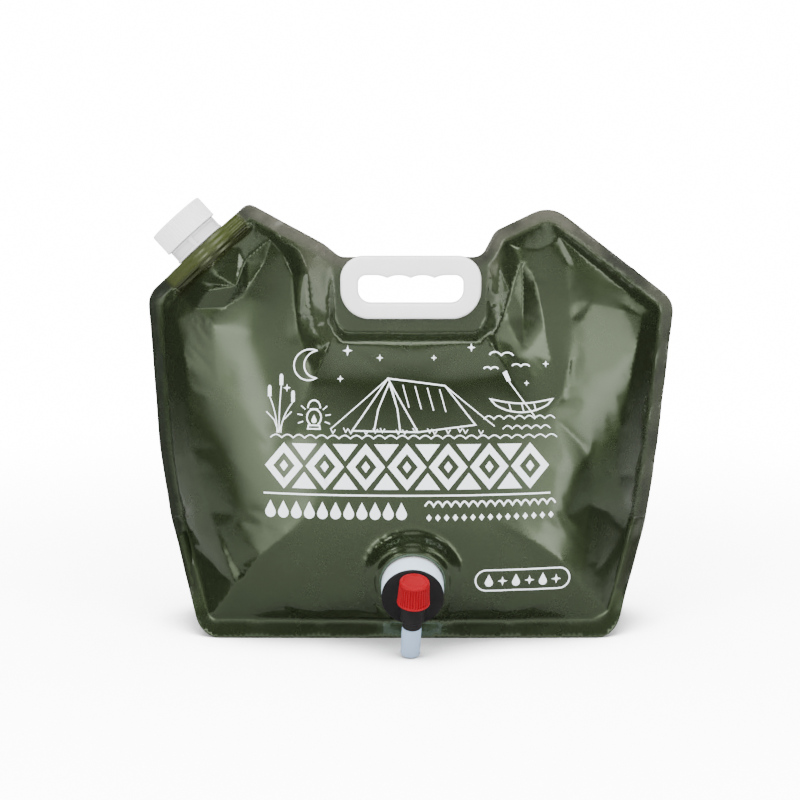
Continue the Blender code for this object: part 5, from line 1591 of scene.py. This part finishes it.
@dataclass
class Tap(Piece):
    """Welded outlet ring, the collar that screws on it, and the drip tap with its knob and tube."""

    root: Triple = (0.0, -0.073, 0.049)
    droop: float = math.radians(18.0)
    roll: float = math.radians(2.8)
    barrel_at: float = 0.0363
    flange: Profile = ((16.5, -2.1), (27.0, -2.1), (27.0, -0.3), (22.3, -0.3), (22.3, 2.5), (22.0, 3.0),
                       (19.4, 3.0), (19.4, 14.0), (16.5, 14.0))
    collar: Profile = ((20.0, 3.3), (22.2, 3.3), (22.5, 3.6), (22.5, 17.3), (22.35, 17.85),
                       (22.0, 18.2), (21.5, 18.3), (7.6, 18.3), (7.6, 15.8), (20.0, 15.8))
    disc: Profile = ((7.2, 6.2), (7.2, 18.6), (22.1, 18.6), (22.5, 19.0), (22.5, 20.9), (22.35, 21.3),
                     (21.9, 21.6), (8.2, 21.6), (6.6, 22.2), (5.8, 23.4), (5.6, 25.0), (5.6, 36.3))
    barrel: Profile = ((5.3, -23.0), (5.3, -13.6), (6.8, -13.6), (7.1, -13.3), (7.1, -8.0), (7.3, -7.6),
                       (8.2, -7.6), (8.6, -7.2), (8.6, 16.1), (8.3, 16.5))
    tail_bore: Triple = (4.0, 2.0, 33.0)
    barrel_bore: Triple = (6.2, -6.0, 19.0)
    seat_bore: Triple = (3.6, -25.0, -4.0)
    tube: Profile = ((5.6, -36.5), (5.9, -36.7), (6.7, -36.7), (7.0, -36.4), (7.0, -14.2), (6.8, -13.9),
                     (5.6, -13.9))
    knob: Profile = ((9.1, 20.8), (9.1, 6.6), (9.4, 6.3), (11.3, 6.3), (11.65, 6.55), (11.7, 6.9),
                     (11.66, 7.5), (11.5, 7.8), (11.42, 8.2), (10.62, 22.0), (10.6, 22.6),
                     (10.45, 23.4), (10.15, 24.0), (9.65, 24.33), (9.1, 24.4), (8.7, 24.3), (8.3, 23.9),
                     (7.9, 23.55), (7.2, 23.4), (3.0, 23.35))
    slim_steps: int = 64
    bore_steps: int = 48
    knob_ribs: int = 36
    knob_columns: int = 4
    knob_core: float = 10.0
    knob_band: Pair = (8.2, 22.0)
    knob_rib_depth: float = 0.065

    def axis(self) -> Matrix:
        """The drooping axis, its Z pointing out of the tap."""
        return (Matrix.Translation(self.root) @ Matrix.Rotation(self.droop, 4, "X")
                @ Matrix.Rotation(math.pi / 2, 4, "X"))

    def rolled(self) -> Matrix:
        """The same axes with the tap's slight roll, its Z pointing up the barrel."""
        return (Matrix.Translation(self.root) @ Matrix.Rotation(self.droop, 4, "X")
                @ Matrix.Rotation(self.roll, 4, "Y"))

    def barrel_axis(self) -> Matrix:
        """The barrel's own axes."""
        return self.rolled() @ Matrix.Translation((0.0, -self.barrel_at, 0.0))

    def body(self) -> Object:
        """Disc, tail, arm and barrel in one, with the water way bored through it."""
        out = Matrix.Rotation(math.pi / 2, 4, "X")
        at = Matrix.Translation((0.0, -self.barrel_at, 0.0))
        made = put(turned("tap_moulding", self.disc), out)
        combined(made, put(turned("barrel_form", self.barrel, self.slim_steps), at), "UNION")
        bores = ((self.barrel_bore, at), (self.seat_bore, at), (self.tail_bore, out))
        for (radius, low, high), place in bores:
            bore = turned("bore_form", ((radius, low), (radius, high)), self.bore_steps)
            combined(made, put(bore, place), "DIFFERENCE")
        return put(made, self.rolled())

    def build(self) -> None:
        """Makes every moulding of the outlet in its place."""
        ring = put(turned("outlet_ring", self.flange, hollow=True), self.axis())
        self.finished(smooth(ring), Body.BAG, MILKY, "outlet_spout")
        collar = put(turned("outlet_collar", self.collar, hollow=True), self.axis())
        self.finished(smooth(collar), Body.OUTLET_TAP, COLLAR_WHITE, "outlet_cap")
        self.finished(smooth(self.body()), Body.OUTLET_TAP, BLACK, "tap_body")
        tube = put(turned("spout_tube", self.tube, self.slim_steps, hollow=True), self.barrel_axis())
        self.finished(smooth(tube), Body.OUTLET_TAP, TUBE, "outlet_tube")
        knob = turned("knob_cap", self.knob, self.knob_ribs * self.knob_columns)
        ribbed(knob, self.knob_band, self.knob_core, self.knob_ribs, self.knob_columns,
               self.knob_rib_depth)
        knob = smooth(put(knob, self.barrel_axis()), RIB_ANGLE)
        self.finished(knob, Body.KNOB, RED, "tap_knob")


@dataclass
class Gusset(Piece):
    """The base film, folded up between the panels, with its flat base and triangular ends."""

    pattern: Pattern
    step: float = 0.004
    gauge: float = 0.0003
    solid_gauge: float = 0.0006
    weld_gap: float = 0.0003
    start_opening: float = 0.0050
    trim: float = 0.0010
    bulge: float = 0.0060
    flat_share: float = 0.68
    flat_power: int = 4
    rows: int = 22
    pucker: float = 0.0006
    pucker_pitch: Pair = (90, 9)
    pucker_calm: float = 0.6

    def build(self) -> None:
        """Makes the film as a band of rows round the base and the ends."""
        outer, inner = self.pattern.seam_loops(self.step)
        depth, split = self.pattern.base_half_depth, self.pattern.split_height
        lean = self.weld_gap / math.cos(math.atan(depth / split))
        top = split * (1 - self.start_opening / depth)
        below = [max(a.imag, b.imag) < top for a, b in zip(outer, inner)]
        first = max(k for k in range(len(below)) if not below[k]) + 1
        order = list(range(first, len(below))) + list(range(below.index(False)))
        shares = [k / self.rows for k in range(self.rows)]
        lines: list[list[Vector]] = []
        for k in order:
            edge, line = outer[k], inner[k]
            forward = float(self.pattern.leg_forward(np.array([line.imag]))[0])
            outwards = unit(edge - line)
            trimmed = edge - outwards * self.trim
            amount = self.bulge * forward / depth
            flat = max(0.0, -outwards.imag) ** self.flat_power
            amount += (line.imag - self.solid_gauge - amount) * flat
            reach = forward + self.weld_gap / 2 - lean
            trimmed_forward = float(self.pattern.leg_forward(np.array([trimmed.imag]))[0])
            trimmed_reach = trimmed_forward + self.weld_gap / 2 - lean
            half = []
            for share in shares:
                drop = 1 - (max(0.0, share - self.flat_share) / (1 - self.flat_share)) ** 2
                spot = line + outwards * amount * drop
                wave = math.sin(line.real * self.pucker_pitch[0] + share * self.pucker_pitch[1])
                pucker = self.pucker * wave * math.sin(math.pi * share) * (1 - drop * self.pucker_calm)
                half.append(Vector((spot.real, share * reach, max(spot.imag + pucker, self.solid_gauge))))
            half.append(Vector((line.real, reach, line.imag)))
            half.append(Vector((trimmed.real, trimmed_reach, trimmed.imag)))
            lines.append([Vector((p.x, -p.y, p.z)) for p in half[:0:-1]] + half)
        width = len(lines[0])
        faces = [(k * width + j, k * width + j + 1, (k + 1) * width + j + 1, (k + 1) * width + j)
                 for k in range(len(lines) - 1) for j in range(width - 1)]
        mesh = bpy.data.meshes.new("film_base")
        mesh.from_pydata([tuple(p) for line in lines for p in line], [], faces)
        made = linked("film_base", mesh)
        marked(made, [1.0 if j in (0, width - 1) else 0.0 for _ in lines for j in range(width)])
        thickened(made, self.gauge)
        made.data.shade_smooth()
        self.finishes.wrap(made, "base_gusset")


# Print on the front film


def arc(centre: complex, radius: float, start: float, end: float, squash: float = 1.0,
        steps: int = 20) -> Loop:
    """Points along an arc of a circle or an upright ellipse, its angles in degrees."""
    turns = [math.radians(start + (end - start) * k / steps) for k in range(steps + 1)]
    return [centre + radius * complex(math.cos(turn), squash * math.sin(turn)) for turn in turns]


def wave(left: complex, pitch: float, height: float, count: int) -> Loop:
    """A row of water ripples that starts at a point."""
    return [left + complex(pitch * k / 8, height * abs(math.sin(math.pi * k / 8)))
            for k in range(8 * count + 1)]


def drop(middle: complex, tall: float) -> Loop:
    """The outline of a falling drop."""
    radius = tall * 0.31
    low = middle - 1j * (tall / 2 - radius)
    return arc(low, radius, -208, 28, steps=18) + [middle + 1j * tall / 2]


def diamond(middle: complex, wide: float, tall: float) -> Loop:
    """A diamond with its four corners."""
    return [middle + wide / 2, middle + 1j * tall / 2, middle - wide / 2, middle - 1j * tall / 2]


def star(middle: complex, radius: float) -> Loop:
    """A star with four long points."""
    return [middle + (radius if k % 2 == 0 else radius * 0.34) * cmath.exp(1j * math.pi * (k / 4 + 0.5))
            for k in range(8)]


@dataclass
class Print:
    """The thin white ink on the front film: a lakeside camp, a woven band and rows of drops.

    The motifs are laid out in millimetres, as seen from the front, and pressed onto the film.
    """

    finishes: Finishes
    film: Object
    line: float = 1.05
    thin: float = 0.8
    least_turn: float = 0.2
    least_mitre: float = 0.5
    step: float = 1.8
    merge: float = 1e-4
    ink: float = 0.00008
    clearance: float = 0.00006
    spots: list[Vector] = field(default_factory=list)
    faces: list[tuple[int, ...]] = field(default_factory=list)

    def __post_init__(self) -> None:
        """Readies the film for being met by rays."""
        self.tree = BVHTree.FromObject(self.film, bpy.context.evaluated_depsgraph_get())

    def on_film(self, spot: complex) -> Vector:
        """The place on the film that is seen at a spot of the layout."""
        start = Vector((spot.real * MM, -1.0, spot.imag * MM))
        place, normal, _, _ = self.tree.ray_cast(start, Vector((0.0, 1.0, 0.0)))
        return place + normal * (self.clearance if normal.y < 0 else -self.clearance)

    def stepped(self, line: Sequence[complex], closed: bool) -> Loop:
        """A line with points no farther apart than the step."""
        ends = list(line) + ([line[0]] if closed else [])
        points: Loop = []
        for start, end in zip(ends, ends[1:]):
            count = max(1, math.ceil(abs(end - start) / self.step))
            points += [start + (end - start) * k / count for k in range(count)]
        return points if closed else points + [ends[-1]]

    def stroke(self, line: Sequence[complex], width: float = 0.0, closed: bool = False) -> None:
        """Inks a line with mitred corners."""
        points, half = self.stepped(line, closed), (width or self.line) / 2
        count, first = len(points), len(self.spots)
        for k, point in enumerate(points):
            back = unit(point - points[k - 1]) if closed or k else unit(points[1] - points[0])
            ahead = unit(points[(k + 1) % count] - point) if closed or k < count - 1 else back
            across = unit(back + ahead) if abs(back + ahead) > self.least_turn else back
            reach = half / max(self.least_mitre, (across.conjugate() * back).real)
            self.spots += [self.on_film(point + side * across * reach) for side in (-1j, 1j)]
        for k in range(count if closed else count - 1):
            a, b = first + 2 * k, first + 2 * ((k + 1) % count)
            self.faces.append((a, b, b + 1, a + 1))

    def fill(self, loop: Sequence[complex]) -> None:
        """Inks the inside of a loop."""
        rim = self.stepped(loop, True)
        low = complex(min(p.real for p in rim), min(p.imag for p in rim))
        high = complex(max(p.real for p in rim), max(p.imag for p in rim))
        wide, tall = (int(span / self.step) for span in ((high - low).real, (high - low).imag))
        lattice = [low + complex(i, j) * self.step for i in range(1, wide + 1) for j in range(1, tall + 1)]
        depths = depth_inside(lattice, rim) if lattice else []
        inner = [p for p, depth in zip(lattice, depths) if depth > self.step / 2]
        edges = [(k, (k + 1) % len(rim)) for k in range(len(rim))]
        flat = [Vector((p.real, p.imag)) for p in rim + inner]
        verts, _, faces, *_ = delaunay_2d_cdt(flat, edges, [], 1, self.merge)
        first = len(self.spots)
        self.spots += [self.on_film(complex(*vert)) for vert in verts]
        for face in faces:
            a, b, c = (complex(*verts[k]) for k in face)
            turn = ((b - a).conjugate() * (c - a)).imag
            self.faces.append(tuple(first + k for k in (face if turn > 0 else face[::-1])))

    def tent(self) -> None:
        """A ridge tent with an open flap and guy lines."""
        apex, left, right, rear, far = -18 + 193j, -44 + 157j, 4 + 156j, 24 + 188j, 46 + 161j
        self.stroke([left, apex, right], closed=True)
        self.stroke([apex, rear, far, right])
        self.stroke([apex + 1 - 3j, -25 + 172j, -28 + 157j])
        self.stroke([apex + 1 - 3j, -11 + 172j, -9 + 157j])
        self.stroke([apex, -60 + 158j], self.thin)
        self.stroke([rear, 60 + 160j], self.thin)
        for k in range(5):
            top = -8 + 5.6j + apex + complex(k * 9.0 + 10, -9 - k)
            self.stroke([top, apex + complex(k * 9.0 + 6.5, -19 - k)], self.thin)

    def lantern(self, foot: complex) -> None:
        """A camping lantern that shines."""
        self.stroke([foot - 4.5, foot + 4.5, foot + 4 + 2.5j, foot - 4 + 2.5j], closed=True)
        self.stroke(arc(foot + 8j, 5.2, -58, 238, 1.1))
        self.stroke([foot - 3 + 13.8j, foot + 3 + 13.8j])
        self.stroke(arc(foot + 14.5j, 4.6, 0, 180, 1.2, 12))
        self.fill(drop(foot + 7j, 6.0))
        for turn in (-20, 10, 40, 140, 170, 200):
            ray = cmath.exp(1j * math.radians(turn))
            self.stroke([foot + 8j + ray * 8.5, foot + 8j + ray * 12.5], self.thin)

    def reeds(self, foot: complex) -> None:
        """Three bulrushes that lean over the water."""
        for lean, tall in ((-3.5, 26.0), (1.0, 34.0), (5.5, 22.0)):
            stem = [foot + complex(lean * (k / 6) ** 2 * 1.6 + lean * 0.3, tall * k / 6)
                    for k in range(7)]
            self.stroke(stem, self.thin)
            head = (1.3, 1.3 + 6.5j, 0.6 + 8j, -0.6 + 8j, -1.3 + 6.5j, -1.3)
            self.fill([stem[-1] + spot for spot in head])
        for lean in (-9.0, 9.5):
            self.stroke([foot, foot + complex(lean * 0.35, 9), foot + complex(lean, 15)], self.thin)

    def boat(self, bow: complex) -> None:
        """A canoe with its paddle."""
        keel = [bow + complex(46 * k / 12, -9.5 * math.sin(math.pi * k / 12) ** 0.6) for k in range(13)]
        deck = [bow + complex(46 * k / 12, -3.2 * math.sin(math.pi * k / 12)) for k in range(12, -1, -1)]
        self.stroke(keel + deck[1:-1], closed=True)
        for share in (0.3, 0.5, 0.7):
            self.stroke([bow + complex(46 * share, -3.4), bow + complex(46 * share + 1.5, -8.6)], self.thin)
        self.stroke([bow + 14 + 12j, bow + 33 - 13j], 0.9)
        self.fill([bow + 12.5 + 12j, bow + 9.5 + 18j, bow + 12.5 + 19.5j, bow + 15.5 + 12.5j])

    def picture(self) -> None:
        """The lakeside camp."""
        moon = arc(-76 + 203j, 11.0, 62, 298) + arc(-70 + 203j, 9.6, 262, 98)
        self.stroke(moon, closed=True)
        for middle, radius in ((-48 + 212j, 3.6), (-92 + 187j, 2.8), (-53 + 193j, 2.4), (44 + 214j, 3.0),
                               (98 + 204j, 2.4), (16 + 207j, 2.2), (-24 + 207j, 2.4), (84 + 190j, 2.0)):
            self.fill(star(middle, radius))
        for middle, wide in ((66 + 208j, 9.0), (80 + 201j, 6.5), (58 + 199j, 5.5)):
            left, right = (arc(middle + side * wide / 2, wide / 2, 160, 20, 0.7, 10) for side in (-1, 1))
            self.stroke(left + right)
        self.tent()
        self.lantern(-72 + 158j)
        self.reeds(-98 + 155j)
        self.boat(57 + 179j)
        for left, pitch, count in ((52 + 165j, 7.5, 7), (-104 + 151.5j, 8.4, 25), (66 + 158j, 7.0, 5)):
            self.stroke(wave(left, pitch, 2.2, count), 0.85)
        for k in range(15):
            foot = complex(-58 + 7.6 * k + 2.2 * math.sin(k * 2.3), 155.2 + 0.8 * math.sin(k * 1.7))
            self.stroke([foot + complex(-1.6, 3.0), foot, foot + complex(1.8, 2.6)], 0.7)

    def build(self) -> None:
        """Lays out the whole print as one thin closed skin."""
        self.picture()
        for k in range(7):
            middle = complex(-94.0 + 30.0 * k, 131.5)
            self.stroke(diamond(middle, 22.0, 26.0), 4.6, True)
            self.fill(diamond(middle, 6.0, 8.0))
        for k in range(6):
            middle = complex(-79.0 + 30.0 * k, 131.5)
            for way in (1, -1):
                corners = [middle + 4.2j * way, middle + 9.0 + 16j * way, middle - 9.0 + 16j * way]
                self.fill(corners)
        self.stroke([-109 + 111.2j, 101 + 111.2j], 1.2)
        for k in range(11):
            self.fill(drop(complex(-104.0 + 9.6 * k, 100.0), 12.5))
        self.stroke(wave(9 + 103.6j, 6.4, 3.2, 15), 1.3)
        for k in range(15):
            self.fill(diamond(complex(12.0 + 6.4 * k, 95.2), 4.0, 5.0))
        left, right, radius = 54.2 + 47.5j, 108.1 + 47.5j, 8.0
        self.stroke(arc(left, radius, 90, 270) + arc(right, radius, -90, 90), 1.2, True)
        for k in range(6):
            self.fill(drop(complex(56.1 + 10.0 * k, 47.5), 9.5) if k % 2 == 0 else
                      star(complex(56.1 + 10.0 * k, 47.0), 3.6))
        mesh = bpy.data.meshes.new("front_print")
        mesh.from_pydata([tuple(spot) for spot in self.spots], [], self.faces)
        made = linked("front_print", mesh)
        thickened(made, self.ink)
        self.finishes.dress(made, PRINT)
        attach(made, Body.BAG.value)
        LOG.info("%s: %d faces", made.name, len(made.data.polygons))


# Camera, lights and floor


@dataclass(frozen=True)
class Studio:
    """The photograph's camera, large soft lights and a pale floor."""

    distance: float = 1.250
    elevation: float = math.radians(9.0)
    target: Triple = (-0.0091, 0.0, 0.1713)
    lens: float = 74.0
    sensor: float = 36.0
    room_light: float = 0.86
    room_gloss: float = 0.03
    front_gloss: float = 0.80
    front_span: Pair = (0.60, 0.97)
    lobes: tuple[tuple[Triple, float, float, float], ...] = (
        ((-0.62, -0.76, 0.20), 26.0, 6.0, 1.2), ((0.62, -0.76, 0.20), 26.0, 6.0, 1.2),
        ((-0.43, -0.87, 0.25), 12.0, 0.0, 2.2), ((0.66, -0.72, 0.22), 14.0, 1.0, 1.2),
        ((0.70, -0.71, -0.02), 9.0, 0.0, 2.6), ((0.0, -0.30, 0.95), 20.0, 4.0, 0.9),
        ((0.0, 0.97, 0.15), 50.0, 12.0, 0.45), ((-0.62, 0.76, 0.20), 26.0, 4.0, 1.2),
        ((0.62, 0.76, 0.20), 26.0, 4.0, 1.2),
        ((-0.62, -0.40, 0.67), 9.0, 3.0, 5.0), ((0.62, -0.40, 0.67), 9.0, 3.0, 3.0))
    backdrop: float = 16.0
    sky_span: Pair = (-0.40, 0.05)
    floor_size: float = 12.0
    floor_exposure: float = 3.6
    floor_shade: float = 0.16
    shade_reach: float = 0.06
    shade_span: Pair = (0.35, 0.90)
    floor_tone: float = 0.88
    mirrored_tone: float = 0.18
    mirrored_span: Pair = (0.35, 1.2)
    haze_span: Pair = (0.25, 0.95)
    lit_point: Triple = (0.0, 0.0, 0.15)
    lights: tuple[tuple[str, Triple, Pair, float], ...] = (
        ("left_window", (-1.6, -0.9, 0.80), (0.9, 1.9), 17.0),
        ("right_window", (1.6, -0.9, 0.80), (0.9, 1.9), 17.0),
        ("top_window", (0.0, -0.3, 1.8), (1.8, 0.9), 16.0),
        ("left_fill", (-1.3, -1.5, 1.2), (1.5, 1.5), 46.0),
        ("right_fill", (1.3, -1.5, 1.2), (1.5, 1.5), 34.0),
        ("top_fill", (0.0, 0.1, 1.9), (2.0, 2.0), 46.0))

    def camera(self) -> None:
        """Sets the camera at the photograph's place."""
        data = bpy.data.cameras.new("view")
        data.lens = self.lens
        data.sensor_width = self.sensor
        made = linked("view", data)
        back = Vector((0.0, -math.cos(self.elevation), math.sin(self.elevation)))
        made.location = Vector(self.target) + back * self.distance
        made.rotation_euler = (-back).to_track_quat("-Z", "Y").to_euler()
        bpy.context.scene.camera = made

    def light(self, name: str, place: Triple, size: Pair, power: float) -> None:
        """A rectangular soft light that faces the bag and stays out of reflections."""
        data = bpy.data.lights.new(name, "AREA")
        data.shape = "RECTANGLE"
        data.size, data.size_y = size
        data.energy = power
        made = linked(name, data)
        made.location = place
        made.rotation_euler = (Vector(self.lit_point) - Vector(place)).to_track_quat("-Z", "Y").to_euler()
        made.visible_glossy = False

    def world(self) -> None:
        """Even white surroundings, seen in reflections as soft lobes of light in a dark room."""
        world = bpy.data.worlds.new("room")
        bpy.context.scene.world = world
        world.use_nodes = True
        graph = Graph(world.node_tree)
        rays = graph.add("LightPath").outputs
        sky = graph.place("Generated")
        facing = graph.ramp(graph.value("MULTIPLY", graph.part(sky, 1), -1.0), *self.front_span)
        gloss = graph.between(facing, self.room_gloss, self.front_gloss)
        above = graph.ramp(graph.part(sky, 2), *self.sky_span)
        for aim, wide, narrow, power in self.lobes:
            turn = graph.add("VectorMath", {0: sky, 1: Vector(aim).normalized()}, operation="DOT_PRODUCT")
            edge, core = (math.cos(math.radians(angle)) for angle in (wide, narrow))
            near = graph.ramp(turn.outputs["Value"], edge, core)
            lobe = graph.value("MULTIPLY", graph.value("MULTIPLY", near, power), above)
            gloss = graph.value("ADD", gloss, lobe)
        shade = graph.between(rays["Is Glossy Ray"], self.room_light, gloss)
        graph.feed(world.node_tree.nodes["Background"], {
            "Color": (1.0, 1.0, 1.0, 1.0),
            "Strength": graph.between(rays["Is Camera Ray"], shade, self.backdrop)})

    def floor(self) -> None:
        """A wide pale floor under the bag, its colour darkened by ambient occlusion near the bag as a
        painted contact shadow.
        """
        deselected()
        bpy.ops.mesh.primitive_plane_add(size=self.floor_size, location=(0.0, 0.0, 0.0))
        made = bpy.context.object
        made.name = "floor"
        material, graph, shader = begun_material("pale_floor")
        graph.tree.nodes.remove(shader)
        seen = graph.add("LightPath").outputs["Is Camera Ray"]
        mirrored = graph.add("LightPath").outputs["Is Glossy Ray"]
        # Painted shadow: ambient occlusion darkens the floor's colour where the bag stands close.
        shade = graph.add("AmbientOcclusion", {"Distance": self.shade_reach}, samples=8).outputs["AO"]
        painted_shade = rgba((self.floor_exposure * self.floor_shade,) * 3)
        tone = graph.mix(graph.ramp(shade, *self.shade_span), painted_shade, rgba((self.floor_exposure,) * 3))
        away = graph.add("VectorMath", {0: graph.place()}, operation="LENGTH").outputs["Value"]
        dim = graph.add("BsdfDiffuse", {"Color": rgba((self.mirrored_tone,) * 3)})
        dim = graph.blend(graph.ramp(away, *self.mirrored_span), dim, graph.add("BsdfTransparent"))
        pale = graph.blend(mirrored, graph.add("BsdfDiffuse", {"Color": rgba((self.floor_tone,) * 3)}), dim)
        haze = graph.add("Emission", {"Color": rgba((1.0,) * 3), "Strength": self.backdrop})
        bright = graph.add("BsdfDiffuse", {"Color": tone})
        bright = graph.blend(graph.ramp(away, *self.haze_span), bright, haze)
        graph.feed(graph.tree.nodes["Material Output"], {0: graph.blend(seen, pale, bright).outputs[0]})
        made.data.materials.append(material)

    def build(self) -> None:
        """Sets up the whole studio."""
        self.camera()
        self.world()
        for light in self.lights:
            self.light(*light)
        self.floor()


def main() -> None:
    """Builds every piece, dresses it and sets up the studio."""
    logging.basicConfig(level=logging.INFO, format="%(message)s")
    Studio().build()
    pattern = Pattern()
    finishes = Finishes(pattern)
    for side, node, folds in ((Side.FRONT, "front_panel", FRONT_FOLDS),
                              (Side.REAR, "rear_panel", REAR_FOLDS)):
        made = FilmPanel(pattern, side, folds).build(f"film_{side.name.lower()}")
        finishes.wrap(made, node)
        if side is Side.FRONT:
            Print(finishes, made).build()
    CarryHandle(finishes, pattern).build()
    Filler(finishes, pattern).build()
    Tap(finishes).build()
    Gusset(finishes, pattern).build()
    for node, plastic in (("cap_liner", RUBBER), ("spout_gasket", RUBBER), ("back_washer", RUBBER),
                          ("back_nut", BLACK), ("valve_stem", BLACK), ("stem_oring", RUBBER),
                          ("valve_plug", RUBBER)):
        finishes.dress(frame["nodes"][node], plastic)


if __name__ == "__main__":
    main()
